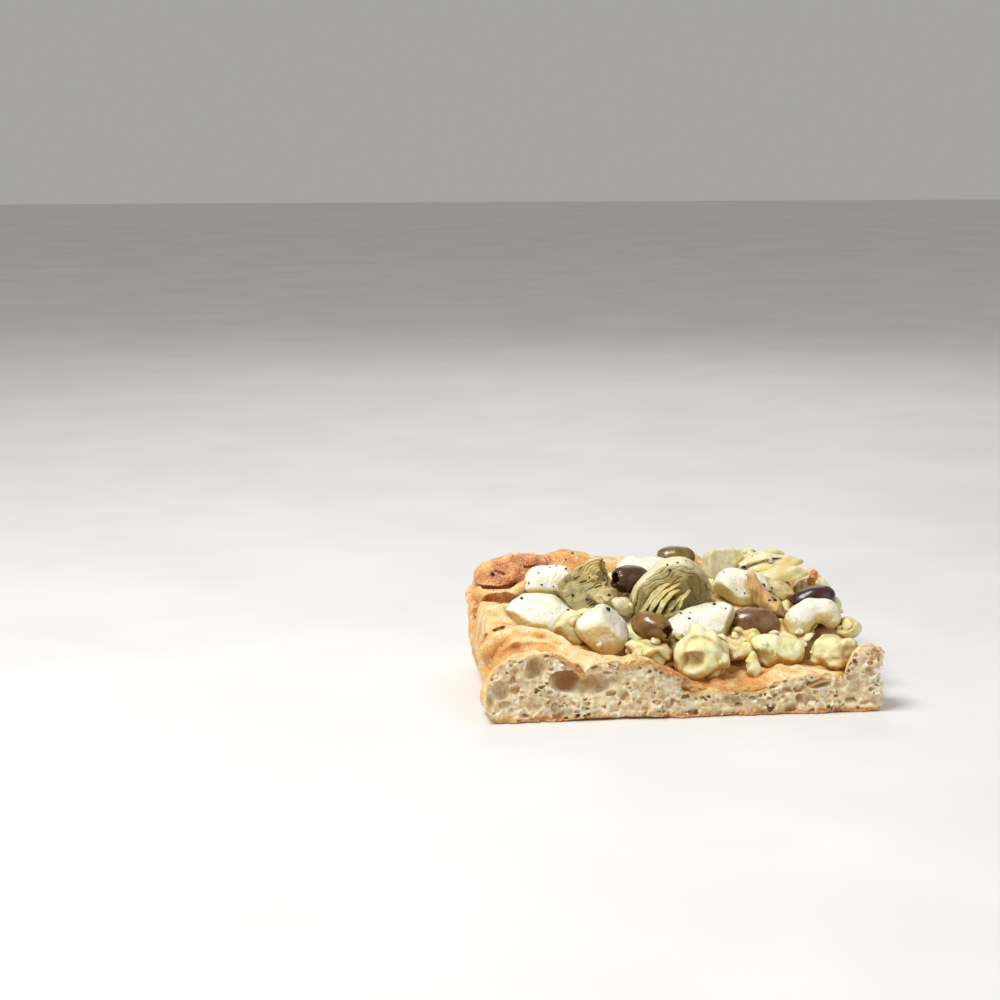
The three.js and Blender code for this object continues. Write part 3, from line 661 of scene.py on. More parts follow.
def bread_shape(step):
    """The bread on a grid that is finer near its cuts. Gives the grid, the field of the outer form, and the
    field of the bread with both cuts and with foam and bubbles taken out of them."""
    xs = np.concatenate([np.arange(-72, 56, step), np.arange(56, 70.5, step * 0.85)])
    ys = np.concatenate([np.arange(-50.2, -38, step * 0.85), np.arange(-38, 51.5, step * 1.6)])
    zs = np.arange(-1.2, 44.5, step * 0.9)
    axes = (xs, ys, zs)
    x2, y2 = xs[:, None], ys[None, :]
    top = bread_top(x2, y2) + 0.3 * cloud(x2, y2, 0 * x2 * y2, 3.4, 31)
    dents = unevenness(13, 17)
    side = side_distance(x2, y2) - 0.8 * dents(x2, y2, 8) - 0.5 * cloud(0 * x2, y2, 0 * x2, 5.0, 39)
    x3, y3, z3 = xs[:, None, None], ys[None, :, None], zs[None, None, :]
    field = outer_field(z3, top[:, :, None], side[:, :, None]).astype(np.float32)
    for fold in FOLDS:
        stroke(field, axes, fold, join=0.6)
    blisters = [BLISTER, ((-29, 33.5, 33.6), (10.6, 11, 7.8), -0.1)]
    crumple = 0.75 * cloud_grid(*axes, 4.4, 46) + 0.35 * cloud_grid(*axes, 2.2, 47)
    for (cx, cy, cz), (rx, ry, rz), lean in blisters:
        away = np.sqrt(((x3 - cx) / rx) ** 2 + ((y3 - cy) / ry) ** 2
                       + ((z3 - cz - lean * (x3 - cx)) / rz) ** 2)
        field = soft_min(field, (away - 1) * rz + crumple, 0.35)
    for groove in GROOVES:
        stroke(field, axes, groove, join=0.4, dig=True)
    field += 0.5 * cloud_grid(*axes, 5.5, 33) + 0.22 * cloud_grid(*axes, 2.4, 30)
    stroke(field, axes, [(-45, -49, 25.5, 0.9), (-40.2, -49, 22, 0.9), (-36.4, -49, 18, 0.8),
                         (-33.6, -49, 14, 0.7)],
           (1, 7, 1), 0.4, dig=True)
    outer = field.copy()
    rough = cloud_grid(*axes, 2.2, 34)
    rougher = cloud_grid(*axes, 1.0, 35)
    torn = 0.4 + 0.8 * cloud_grid(*axes, 6, 38) + 1.1 * np.abs(cloud_grid(*axes, 1.9, 40)) + 0.3 * rough
    torn = np.clip(torn + 0.7 * np.abs(rougher), 0, 3)
    front_in, right_in = y3 - FRONT_Y - torn, RIGHT_X - x3 - torn
    field = soft_max(field, -front_in, 0.3)
    field = soft_max(field, -right_in, 0.3)
    lift = 0.15 + 0.7 * smooth((-43 - y3) / 5) * smooth((x3 + 42) / 8) * smooth((-2 - x3) / 10)
    field = np.maximum(field, lift + 0.12 * rough - z3)
    warp = (0.6 * cloud_grid(*axes, 3.4, 36) + 0.2 * rougher,
            0.6 * cloud_grid(*axes, 3.4, 37) + 0.2 * rougher)
    for x, z, wide, high, deep in FRONT_PORES:
        carve(field, axes, (x, FRONT_Y - 0.1 * deep, z), (wide, deep * 1.15, high), warp)
    rng = np.random.RandomState(42)
    for _ in range(26):
        y, r = rng.uniform(-44, 44), rng.uniform(1.2, 2.8)
        z = rng.uniform(2 + r, max(2.5 + r, bread_top(RIGHT_X, y) - 2 - r))
        carve(field, axes, (RIGHT_X - 0.2, y, z), (r * rng.uniform(0.8, 1.6), r * 1.3, r), warp)
    for cut, size, seed, wall in ((0, (4.6, 3.4, 3.2), 61, 0.26), (0, (2.1, 1.8, 1.6), 62, 0.15),
                                  (1, (3.4, 4.4, 3.2), 63, 0.28), (1, (1.9, 2.1, 1.6), 64, 0.19)):
        spans = (slice(0, None), slice(0, np.searchsorted(ys, FRONT_Y + 6)),
                 slice(0, np.searchsorted(zs, 27)))
        if cut:
            spans = (slice(np.searchsorted(xs, RIGHT_X - 6), None), slice(0, None),
                     slice(0, np.searchsorted(zs, 36)))
        bend = [w[spans] * 0.5 / min(size) for w in (warp[0], rough, warp[1])]
        gap, away, (sx, sy, sz) = foam(xs[spans[0]], ys[spans[1]], zs[spans[2]], size, seed, bend)
        inward = (RIGHT_X - sx) if cut else (sy - FRONT_Y)
        large = min(size) > 2.5
        along = sy if cut else sx
        fluffy = np.exp(-((along + 15) / 9) ** 2 - ((sz - 13) / 5) ** 2) if not cut else 0
        cellar = np.sin(along * 0.31 + sz * 0.4) * 0.5 + 0.5
        wanted = (0.2 + 0.6 * cellar) if large else (0.98 - 0.15 * cellar)
        draw = np.mod(np.abs(np.sin(sx * 12.9898 + sy * 78.233 + sz * 37.719)) * 43758.5453, 1)
        is_open = (inward - 0.9 < 0.55 * min(size)) & (draw < wanted * (1 - 0.85 * fluffy))
        hole = soft_min(gap - wall * (1 + 0.4 * rough[spans]), (0.5 + 0.2 * draw) * min(size) - away, 0.25)
        hole = np.minimum(hole, -outer[spans] - 0.9)
        hole = np.minimum(hole, (3.0 if large else 1.2) - (right_in if cut else front_in)[spans])
        hole = np.minimum(hole, z3[:, :, spans[2]] - 0.9)
        field[spans] = np.where(is_open, soft_max(field[spans], hole, 0.25), field[spans])
    return axes, outer, field


def sample(grid, values, points):
    """A field's value at points between its grid's nodes."""
    low, t = [], []
    for axis, p in zip(grid, points.T):
        i = np.clip(np.searchsorted(axis, p) - 1, 0, len(axis) - 2)
        low.append(i)
        t.append(np.clip((p - axis[i]) / (axis[i + 1] - axis[i]), 0, 1))
    total = 0
    for i in (0, 1):
        for j in (0, 1):
            for k in (0, 1):
                weight = (t[0] if i else 1 - t[0]) * (t[1] if j else 1 - t[1]) * (t[2] if k else 1 - t[2])
                total = total + weight * values[low[0] + i, low[1] + j, low[2] + k]
    return total


def toast_at(x, y, z):
    """How browned the crust is: more on the back left bubbles, along the front's upper edge, on the left and
    at the back."""
    def spot(cx, cy, cz, rx, ry, rz):
        return np.exp(-((x - cx) / rx) ** 2 - ((y - cy) / ry) ** 2 - ((z - cz) / rz) ** 2)
    toast = 0.05 + 0.1 * spot(-52, 27, 37, 15, 13, 8) + 0.4 * spot(-29, 33, 40, 11, 11, 6)
    toast = toast + 0.5 * spot(-4, -45, 15, 15, 8, 7) + 0.3 * spot(20, 40, 37, 40, 8, 5)
    toast = toast + 0.25 * spot(63, -44, 26, 8, 10, 4) + 0.4 * spot(18, -42, 10, 16, 6, 5)
    toast = toast + 0.25 * spot(-48, -20, 20, 14, 6, 4) + 0.2 * spot(-67, -10, 18, 4, 40, 14)
    toast = toast + 0.4 * spot(-62, 18, 29, 8, 7, 3)
    return toast


# Flakes of crust that stand off the bread: how toasted, and the blade.
FLAKES = [
    (0.5, dict(base=(-27, -46.6, 18.0), tip=(-12, -47.4, 20.0), up=(0.1, -0.7, 0.8), width=3.4, thick=0.6,
               lift=0.6, camber=0.5, seed=801)),
    (0.6, dict(base=(-14, -46.8, 19.6), tip=(0.5, -47.4, 13.0), up=(0.3, -0.7, 0.8), width=3.6, thick=0.6,
               lift=0.7, camber=0.5, seed=803)),
    (0.55, dict(base=(-3, -46.8, 13.8), tip=(7.5, -46.6, 8.8), up=(0.3, -0.6, 0.8), width=3.4, thick=0.6,
                lift=0.5, camber=0.4, seed=805)),
    (0.45, dict(base=(14, -46.4, 8.6), tip=(28, -46.8, 9.6), up=(0, -0.5, 1), width=3.0, thick=0.5, lift=0.4,
                camber=0.3, seed=807)),
    (0.3, dict(base=(-44, -46.6, 23.0), tip=(-36, -47.4, 15.4), up=(0.8, -0.5, 0.6), width=3.2, thick=0.5,
               lift=0.8, camber=0.4, seed=809)),
    (0.35, dict(base=(40, -46.6, 9.2), tip=(55, -46.2, 12.8), up=(-0.1, -0.5, 1), width=3.2, thick=0.5,
                lift=0.5, camber=0.4, seed=811)),
    (0.5, dict(base=(58.4, 14, 31.4), tip=(59.4, 12, 36.6), up=(0.2, -1, 0.2), width=4.6, thick=1.8,
               lift=0.4, camber=0.8, seed=813)),
]


def colour_of(name, what, *colour):
    return FloatVectorProperty(name=name, description=what + ", 0 to 255", default=colour)


class FocacciaBread(bpy.types.PropertyGroup):
    step: FloatProperty(name="Grid step",
                        description="Spacing of the points that the crumb is worked out on",
                        default=0.00036, min=0.0002, max=0.002, unit="LENGTH")
    triangles: IntProperty(name="Triangles", description="Most triangles of each part", default=185000,
                           min=10000)
    crumb_light: colour_of("Crumb", "Pale crumb", 255, 244, 218)
    crumb_dark: colour_of("Crumb shade", "Darker crumb", 228, 200, 150)
    # Colours of the painted shade in the open bubbles, darker further in.
    cavity_shade: colour_of("Cavity", "Inside the open bubbles", 204, 158, 100)
    cavity_deep_shade: colour_of("Deep cavity", "Far inside them", 190, 138, 80)
    crust_pale: colour_of("Pale crust", "Lightest crust", 240, 212, 156)
    crust_gold: colour_of("Gold crust", "Golden crust", 226, 176, 102)
    crust_orange: colour_of("Orange crust", "Orange crust", 216, 154, 80)
    crust_brown: colour_of("Brown crust", "Toasted crust", 194, 118, 66)
    crust_dark: colour_of("Dark crust", "Darkest crust", 150, 80, 42)
    crust_shade: colour_of("Crust shade", "Under other pieces", 186, 128, 56)
    crust_fleck: colour_of("Flecks", "Blisters on it", 232, 184, 148)


class FOCACCIA_OT_bread(bpy.types.Operator):
    """Builds the bread: crumb with open bubbles at two cuts, and a browned crust elsewhere"""
    bl_idname = "focaccia.bread"
    bl_label = "Bread"

    def execute(self, context):
        look = context.scene.focaccia_bread
        axes, outer, field = bread_shape(look.step / MM)
        solid = (field < 0).astype(np.float32)
        tight, wide = box_blur(box_blur(solid, 5), 3), box_blur(box_blur(solid, 13), 9)
        paint = bread_paint(look)
        for name, sides in (("bread_front", [(1, FRONT_SEAM, 1)]),
                            ("bread_right", [(1, FRONT_SEAM, -1), (0, RIGHT_SEAM, -1)]),
                            ("bread_slice", [(1, FRONT_SEAM, -1), (0, RIGHT_SEAM, 1)])):
            part, places = kept(field, axes, sides)
            points, quads = skin(part, *places)
            piece = make_mesh(name, points, [quads])
            thin_out(piece, look.triangles)
            place, normal = points_of(piece.data), normals_of(piece.data)
            x, y, z = place.T
            depth = -sample(axes, outer, place)
            depth = np.minimum(depth, 0.36 * z + 0.1 + 0.25 * cloud(x, y, 0 * z, 3.0, 52))
            ragged = 0.25 * cloud(x, y, z, 1.4, 51)
            crust = 1 - smooth((depth + ragged - 0.35) / 0.7)
            inward = np.minimum(y - FRONT_Y, RIGHT_X - x)
            # Masks for the painted shade in the bubbles: how far in from the cut (deep) and how closed in by
            # crumb (pit).
            deep = np.clip((inward - 1.2) / 7, 0, 1) * (1 - crust)
            pit = sample(axes, tight, place + 0.5 * normal)
            # How far down in a fold each point lies, for the painted shade in the folds.
            fold = sample(axes, wide, place + 1.4 * normal)
            crust = crust * (1 - 0.9 * smooth((pit - 0.3) / 0.14) * smooth((7 - inward) / 1.5))
            (bx, by, bz), (rx, ry, rz), lean = BLISTER
            lid = np.sqrt(((x - bx) / rx) ** 2 + ((y - by) / ry) ** 2
                          + ((z - bz - lean * (x - bx)) / rz) ** 2)
            lid = smooth(1.4 - np.abs((lid - 1) * rz + 0.2))
            lid = lid * smooth((z - 30.2 + 0.5 * (x + 51) * (x > -51)) / 2)
            toast = toast_at(x, y, z) + 0.5 * lid + 0.5 * smooth((2.2 - z) / 0.8)
            set_values(piece.data, {"crust": crust, "toast": toast, "deep": deep, "pit": pit, "fold": fold})
            piece.data.materials.append(paint)
            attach(piece, "root")
            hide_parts("bread")
        for i, (toasted, spec) in enumerate(FLAKES):
            points, faces, along, _ = blade_shape(**spec)
            flake = make_mesh("bread_flake_%d" % i, points, faces, {
                "crust": 1 + 0 * along, "toast": toasted + 0 * along, "deep": 0 * along, "pit": 0 * along,
                "fold": 0.12 + 0 * along})
            flake.data.materials.append(paint)
            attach(flake, "root")
        return {"FINISHED"}


# ---- toppings ----
def grid(low, high, step):
    """Three axes of points over a box."""
    return [np.arange(a, b + step, step, dtype=np.float32) for a, b in zip(low, high)]


def even(field, axes):
    """The field divided by its steepness, so that it counts millimetres near its zero."""
    slopes = np.gradient(field, *axes)
    return (field / np.maximum(np.sqrt(sum(s * s for s in slopes)), 0.02)).astype(np.float32)


def lump_field(axes, size, square, rough, seed):
    """Millimetres outside a lump: an ellipsoid, squarer or rounder, made uneven by seeded waves."""
    x, y, z = np.meshgrid(*[a / s for a, s in zip(axes, size)], indexing="ij")
    r = np.sqrt(x * x + y * y + z * z) + 1e-6
    x, y, z = x / r, y / r, z / r
    norm = (np.abs(x) ** square + np.abs(y) ** square + np.abs(z) ** square) ** (1 / square)
    coarse, fine = unevenness(seed, 1.9), unevenness(seed + 1, 0.8)
    return even(r - (1 + rough * coarse(x, y, z) + 0.35 * rough * fine(x, y, z)) / norm, axes)


def add_ball(field, axes, centre, half, join):
    """Joins an ellipsoid to the field, rounded over by `join` mm."""
    reach = max(half) + 2 * join + 0.5
    spans = spans_of(axes, np.subtract(centre, reach), np.add(centre, reach))
    if not spans:
        return
    away = np.sqrt(sum(spread((a[s] - c) / h, i) ** 2
                       for i, (a, s, c, h) in enumerate(zip(axes, spans, centre, half))))
    field[spans] = soft_min(field[spans], (away - 1) * min(half), join)


def hollowed(field, x, y, z, hollows, join):
    """The field without ellipsoids, given as centre and half sizes."""
    for centre, half in hollows:
        hollow = 1 - np.sqrt(((x - centre[0]) / half[0]) ** 2 + ((y - centre[1]) / half[1]) ** 2
                             + ((z - centre[2]) / half[2]) ** 2)
        field = soft_max(field, hollow * min(half), join)
    return field


def potato_shape(at, size, turn, seed, square=2.0, rough=0.12, balls=9, ball=(0.36, 0.64), grain=0.42,
                 step=0.36, hollows=(), facets=5, join=0.8):
    """Crushed potato: a lump with smaller lumps pressed into its surface, broken faces, crevices along a
    noise's zero and grain."""
    size = np.array(size, float)
    axes = grid(-size * 1.28 - 1.2, size * 1.28 + 1.2, step)
    field = lump_field(axes, size, square, rough, seed) + 0.4
    rng = np.random.RandomState(seed)
    small = min(size)
    for _ in range(balls):
        way = rng.normal(size=3)
        way /= np.sum(np.abs(way) ** square) ** (1 / square)
        r = rng.uniform(*ball) * small
        add_ball(field, axes, way * (size - 0.75 * r), r * rng.uniform(0.7, 1.35, 3), join)
    x, y, z = (spread(a, i) for i, a in enumerate(axes))
    for _ in range(facets):
        way = rng.normal(size=3) * (1, 1, 0.8)
        way /= np.linalg.norm(way)
        away = np.linalg.norm(way * size) * rng.uniform(0.8, 0.92)
        field = soft_max(field, way[0] * x + way[1] * y + way[2] * z - away, 0.5)
    field = hollowed(field, x, y, z, hollows, 1.3)
    crevice = cloud_grid(*axes, 4.6, seed + 5)
    field += 0.55 * grain / 0.35 * np.exp(-(crevice / 0.13) ** 2) + cloud_grid(*axes, 3.2, seed + 6) * grain
    field += 0.6 * grain * np.maximum(cloud_grid(*axes, 1.2, seed + 7), -0.3)
    points, quads = skin(field, *axes)
    # Where the crevices and hollows are, for the painted shade in them.
    crease = np.exp(-(sample(axes, crevice, points) / 0.3) ** 2)
    for centre, half in hollows:
        crease = np.maximum(crease, np.exp(-np.sum(((points - centre) / half) ** 4, 1)))
    return turned(points, at, turn), [quads], crease


def mozzarella_shape(at, size, turn, seed, square=2.0, rough=0.12, facets=(), path=(),
                     path_flat=(1, 1, 1), edge=0.8, step=0.36):
    """Soft cheese: a smooth lump pared by planes (direction and distance) that are rounded over, or a
    rope."""
    size = np.array(size, float)
    axes = grid(-size * 1.22 - 1, size * 1.22 + 1, step)
    if path:
        field = np.full([len(a) for a in axes], 1e3, np.float32)
        stroke(field, axes, path, path_flat, 1.0)
    else:
        field = lump_field(axes, size, square, rough, seed)
    for dx, dy, dz, away in facets:
        long = math.sqrt(dx * dx + dy * dy + dz * dz)
        x, y, z = (spread(a, i) for i, a in enumerate(axes))
        field = soft_max(field, (dx * x + dy * y + dz * z) / long - away, edge)
    field = field + 0.5 * cloud_grid(*axes, 6.0, seed + 5) + 0.22 * cloud_grid(*axes, 2.4, seed + 6)
    points, quads = skin(field, *axes)
    return turned(points, at, turn), [quads]


def artichoke_shape(at, size, turn, seed, begin=0.16, flare=0.15, layers=7, shift=0.0, hollows=(), step=0.27,
                    petals=3, ragged=0.2, gape=0.35, wavy=0.75, fray=0.16, close=0.76,
                    profile=((-90, 1), (90, 1)), dark=0.0):
    """A halved artichoke heart: nested leaves about X, parted by wavy grooves that open to gaps towards
    their pointed tips. Gives with the surface the place along it, the count of layers outward, the angle
    round it, where the layers show and how much painted shade it takes on one side."""
    long, radius = size
    axes = grid((-1.5, -radius * 1.35 - 1, -1), (long * 1.06, radius * 1.35 + 1, radius * 1.35 + 1), step)
    x, y, z = np.meshgrid(*axes, indexing="ij")
    u = np.clip(x / long, 0, 1)
    belly = np.sin(math.pi * (begin + (close - begin) * u)) ** 0.8 + flare * u * u
    around = np.arctan2(y, np.maximum(z, 0.01))
    outer = radius * belly * (1 + 0.06 * cloud_grid(*axes, 7, seed + 1)) + 0.9
    outer = outer * np.interp(np.degrees(around), *zip(*profile))
    first = np.hypot(y, z) / outer
    ring = np.hypot(y - shift * np.clip(1 - first, 0, 1), z) / outer
    wave = cloud_grid(*axes, 5.5, seed + 2) * wavy + cloud_grid(*axes, 2.4, seed + 3) * 0.45 * wavy
    place = np.clip(ring, 0, 1.2) * layers + wave
    layer = np.floor(place)
    part = np.abs(place - np.round(place)) * outer / layers
    parting = smooth((u - 0.62) / 0.38) * gape
    gap = np.where(place < 1.2, -1, parting - 0.25 + 0.2 * cloud_grid(*axes, 3.4, seed + 4))
    skinned = smooth((layers * (1 - ring) - 0.3) / 0.3)
    field = (ring - 1) * outer + 0.45 * np.exp(-(part / 0.2) ** 2) * smooth((place - 1) / 0.5) * skinned
    field = soft_max(field, gap - part - 3 * (1 - np.maximum(skinned, smooth((u - 0.7) / 0.1))), 0.2)
    phase = np.array(randoms(seed + 9, 40))[np.clip(layer, 0, 30).astype(int)]
    tooth = np.abs(2 * np.mod(around / math.pi * petals + phase, 1) - 1)
    reach = long * (1 - 0.04 * (layers - 1 - np.clip(layer, 0, layers - 1)) - ragged * tooth ** 1.4
                    - 0.08 * phase)
    field = soft_max(field, x - reach, 0.3)
    dip = 0.35 * np.exp(-(part / 0.2) ** 2)
    field = soft_max(field, 0.3 - x + 0.5 * wave + dip, 0.5)
    field = soft_max(field, 0.15 - z + 0.3 * wave + dip, 0.3)
    field = hollowed(field, x, y, z, hollows, 0.8)
    field += fray * cloud_grid(*axes, 1.3, seed + 5)
    points, quads = skin(field.astype(np.float32), *axes)
    laid, inner = (sample(axes, np.asarray(f, np.float32), points) for f in (place, skinned))
    # Painted shade on the right side of the heart, as much as dark gives.
    dark = dark * smooth((-points[:, 1] - 0.5) / 5) * smooth((11 - points[:, 0]) / 6)
    angle = np.arctan2(points[:, 1], points[:, 2])
    return turned(points, at, turn), [quads], points[:, 0] / long, laid, angle, inner, dark


def blade_shape(base, tip, up, width, thick=1.0, lift=2.0, camber=1.6, point=2.0, seed=1, rows=46,
                columns=36):
    """A leaf blade: a flat closed tube from base to tip along a parabola, arched across, widest near its
    middle and coming to a point, with wavy edges. Gives with the surface the places along and across."""
    base, tip, up = (np.array(v, float) for v in (base, tip, up))
    way = tip - base
    side = np.cross(way, up)
    side /= np.linalg.norm(side)
    up = np.cross(side, way)
    up /= np.linalg.norm(up)
    u = np.linspace(0.004, 0.996, rows)[:, None]
    a = np.linspace(0, math.tau, columns, endpoint=False)[None, :]
    out, over = np.cos(a), np.sin(a)
    wide = width / 2 * (0.62 + 0.75 * u) * (1 - u ** point) ** 0.8 * np.minimum(1, (u / 0.03)) ** 0.5
    wide = wide * (1 + 0.14 * cloud(u * 7, out * 1.3, 0 * u * out, 1.0, seed))
    body = thick / 2 * np.minimum(1, np.minimum(u / 0.03, (1 - u) / 0.05)) ** 0.5
    high = body * over * (1 - 0.55 * out ** 4) + camber * (1 - out * out) * (wide / (width / 2))
    high = high + 0.55 * cloud(u * 6, out * 1.4, 0 * u * out, 1.0, seed + 1)
    line = base + way * u[..., None] + up * (lift * 4 * u * (1 - u))[..., None]
    points = line + side * (wide * out)[..., None] + up * high[..., None]
    ends = [points[0].mean(0), points[-1].mean(0)]
    points = np.concatenate([points.reshape(-1, 3), ends])
    along = np.concatenate([np.repeat(u[:, 0], columns), [0, 1]])
    across = np.concatenate([np.tile(out[0], rows), [0, 0]])
    return points, tube_faces(rows, columns), along, across


# Rings of points over an olive's outside, round its rim and down its bore.
OLIVE_ROWS, RIM_ROWS, BORE_ROWS = 70, 7, 25


def olive_shape(at, turn, length, width, seed, pit, torn=0.6):
    """A pitted olive turned about X: from its closed end over the outside, round a torn rim and down the
    bore."""
    half = length / 2
    a = np.linspace(math.pi - 0.02, math.asin(min(1, (pit + 0.7) / (width / 2)) ** (1 / 0.9)), OLIVE_ROWS)
    along, radius = half * np.cos(a), (width / 2) * np.sin(a) ** 0.9
    rim = np.linspace(0, math.pi, RIM_ROWS + 2)[1:-1]
    along = np.concatenate([along, along[-1] + 0.35 * np.sin(rim)])
    radius = np.concatenate([radius, pit + 0.35 + 0.35 * np.cos(rim)])
    edge = along[-1]
    down = np.linspace(0, 0.62 * length, BORE_ROWS + 1)[1:]
    along = np.concatenate([along, edge - down])
    bore = pit * (1 + 0.25 * smooth(down / 2.0)) * np.sqrt(np.clip(1 - (down / down[-1]) ** 4, 0.003, 1))
    radius = np.concatenate([radius, bore])
    columns = 84
    angle = np.linspace(0, math.tau, columns, endpoint=False)[None, :]
    along, radius = along[:, None], radius[:, None]
    near = np.exp(-((along - edge) / 1.6) ** 2)
    cos, sin = np.cos(angle), np.sin(angle)
    wobble = cloud(along / 5, cos * 1.4, sin * 1.4, 1.0, seed)
    fine = cloud(along / 2, cos * 2.6, sin * 2.6, 1.0, seed + 1)
    radius = radius * (1 + 0.035 * wobble) + 0.07 * fine * np.minimum(1, radius)
    along = along + near * torn * (1.1 * cloud(0 * along, cos * 1.3, sin * 1.3, 1.0, seed + 2)
                                   + 0.6 * cloud(0 * along, cos * 4, sin * 4, 1.0, seed + 3))
    radius = radius + near * torn * 0.45 * cloud(0 * along, cos * 3, sin * 3, 1.0, seed + 4)
    points = np.stack([along + 0 * angle, radius * cos, radius * sin], -1)
    rows = len(points)
    points = np.concatenate([points.reshape(-1, 3), [[-half, 0, 0]], [[edge - down[-1], 0, 0]]])
    inside = np.zeros(len(points))
    inside[(OLIVE_ROWS + RIM_ROWS // 2 + 2) * columns:rows * columns] = 1
    inside[-1] = 1
    return turned(points, at, turn), tube_faces(rows, columns), inside


def potato_paint(look):
    """Moist floury potato: pale yellow with deeper patches, and an orange-brown painted shade in its
    crevices and hollows, on its sides that face down and where other pieces close it in.
    """
    p = Paint("crushed_potato", subsurface_weight=0.35, subsurface_scale=0.003)
    p.shader.inputs["Subsurface Radius"].default_value = (1.0, 0.8, 0.3)
    mid, fine, broad = p.noise(2.2, 4), p.noise(0.7, 4), p.noise(8, 2)
    colour = p.mix(p.ramp(broad, (0.35, 0.0), (0.68, 1.0)), linear(*look.pale), linear(*look.yellow))
    colour = p.toward(colour, look.deep, mid, 0.5, 0.8, 0.5)
    # Painted shade in orange-brown: in the crevices and hollows, on the sides that face down and where other
    # pieces close it in.
    colour = p.mix(p.math("MULTIPLY", p.value("crease"), 0.5), colour, linear(*look.crease))
    colour = p.toward(colour, look.crease, p.value("low"), 0.1, 1.0, 0.7)
    colour = p.toward(colour, look.crease, p.value("near"), 0.24, 0.55, 0.95)
    colour = p.toward(colour, (246, 244, 216), p.noise(1.1, 5, 0.7), 0.5, 0.7, 0.5)
    height = p.math("ADD", p.math("MULTIPLY", fine, 0.8), p.math("MULTIPLY", mid, 0.6))
    return p.finish(colour, p.ramp(mid, (0.3, 0.3), (0.7, 0.5)), p.bump(height, 0.5, 0.9))


def mozzarella_paint(look):
    """White cheese, with a creamy yellow painted as shade on its sides that face down and where other pieces
    close it in, with stains of oil and dark specks.
    """
    p = Paint("mozzarella", subsurface_weight=0.45, subsurface_scale=0.004, roughness=0.3)
    p.shader.inputs["Subsurface Radius"].default_value = (1.0, 0.85, 0.6)
    broad, fine = p.noise(6, 3), p.noise(1.2, 4)
    colour = p.mix(p.ramp(broad, (0.4, 0.0), (0.75, 0.8)), linear(*look.white), linear(*look.cream))
    # Painted shade in creamy yellow on the sides that face down and between pieces.
    colour = p.toward(colour, look.edge, p.value("low"), 0.2, 0.95, 0.8)
    colour = p.toward(colour, look.edge, p.value("near"), 0.28, 0.62, 0.85)
    stain = p.math("MULTIPLY", p.ramp(p.noise(3.2, 3, 0.6), (0.6, 0.0), (0.72, 1.0)),
                   p.ramp(p.noise(9, 2), (0.45, 0.0), (0.6, 1.0)))
    colour = p.mix(stain, colour, linear(*look.oil))
    speck = p.math("MULTIPLY", p.ramp(p.cells(1.7), (0.05, 1.0), (0.1, 0.0)), 0.8)
    colour = p.mix(speck, colour, linear(120, 112, 70))
    return p.finish(colour, p.ramp(fine, (0.35, 0.16), (0.7, 0.36)),
                    p.bump(p.math("ADD", fine, p.math("MULTIPLY", broad, 2.0)), 0.7, 0.9))


def artichoke_paint(look, name, base, other, veins=0.35):
    """Cooked leaf: grey green to olive, yellow towards the tips and edges, with fibres along it and dark
    lines between its layers."""
    p = Paint(name, subsurface_weight=0.2, subsurface_scale=0.0015)
    p.shader.inputs["Subsurface Radius"].default_value = (1.0, 0.8, 0.3)
    tip, lay = p.value("tip"), p.value("lay")
    leaf = p.node("ShaderNodeAttribute", attribute_name="leaf").outputs["Vector"]
    fibre = p.noise(1000, 3, 0.6, (0.22, 1.5, 1.0), leaf)
    mid, fine, broad = p.noise(3.0, 4), p.noise(0.7, 3), p.noise(8, 2)
    colour = p.mix(p.ramp(mid, (0.38, 0.0), (0.66, 1.0)), linear(*base), linear(*other))
    toward = p.varied(p.math("MULTIPLY", tip, 0.7), broad, 1.8)
    colour = p.toward(colour, look.yellow, toward, 0.25, 0.65, 0.9)
    colour = p.toward(colour, look.brown, fibre, 0.52, 0.7, veins)
    colour = p.mix(p.math("SUBTRACT", 1.0, p.value("inner")), colour,
                   p.mix(p.ramp(mid, (0.4, 0.0), (0.7, 0.7)), linear(*look.heart_pale),
                         linear(*look.yellow)))
    line = p.math("PINGPONG", p.varied(lay, mid, 0.5), 0.25)
    line = p.math("MULTIPLY", p.ramp(line, (0.0, 1.0), (0.08, 0.0)), p.ramp(broad, (0.4, 0.3), (0.6, 0.8)))
    line = p.math("MULTIPLY", line, p.value("inner"))
    colour = p.mix(line, colour, linear(*look.line))
    colour = p.toward(colour, look.rim, p.noise(5, 4, 0.6), 0.62, 0.72, 0.6)
    # Painted shade between pieces, and on the side or in the crevices that the shape marks as dark.
    colour = p.toward(colour, look.shade, p.value("near"), 0.3, 0.7, 0.7)
    colour = p.mix(p.math("MULTIPLY", p.value("dark"), p.ramp(mid, (0.3, 1.0), (0.75, 0.55))), colour,
                   linear(*look.shade))
    height = p.math("ADD", p.math("MULTIPLY", fibre, 2.5 * veins), p.math("MULTIPLY", fine, 0.5))
    height = p.math("SUBTRACT", height, line)
    return p.finish(colour, p.ramp(mid, (0.3, 0.3), (0.7, 0.55)), p.bump(height, 0.45, 1.0))


def olive_paint(name, skin_colour, patch_colour, inner):
    """Olive skin, glossy with oil, mottled with a second colour; torn flesh round and in the bore."""
    p = Paint(name, subsurface_weight=0.08, subsurface_scale=0.0015, roughness=0.24, coat_weight=0.35)
    p.shader.inputs["Coat Roughness"].default_value = 0.12
    mid, fine = p.noise(3.5, 4, 0.6), p.noise(0.8, 3)
    colour = p.mix(p.ramp(mid, (0.4, 0.0), (0.68, 1.0)), linear(*skin_colour), linear(*patch_colour))
    colour = p.mix(p.value("inside"), colour, p.mix(p.ramp(fine, (0.35, 0.0), (0.65, 1.0)), linear(*inner),
                                                  linear(60, 34, 12)))
    return p.finish(colour, p.ramp(mid, (0.35, 0.2), (0.7, 0.34)),
                    p.bump(p.math("ADD", fine, mid), 0.12, 0.6))


def pepper_paint():
    p = Paint("black_pepper", roughness=0.6)
    return p.finish(p.ramp(p.noise(0.4, 2), (0.3, linear(14, 12, 10)), (0.7, linear(52, 42, 30))))


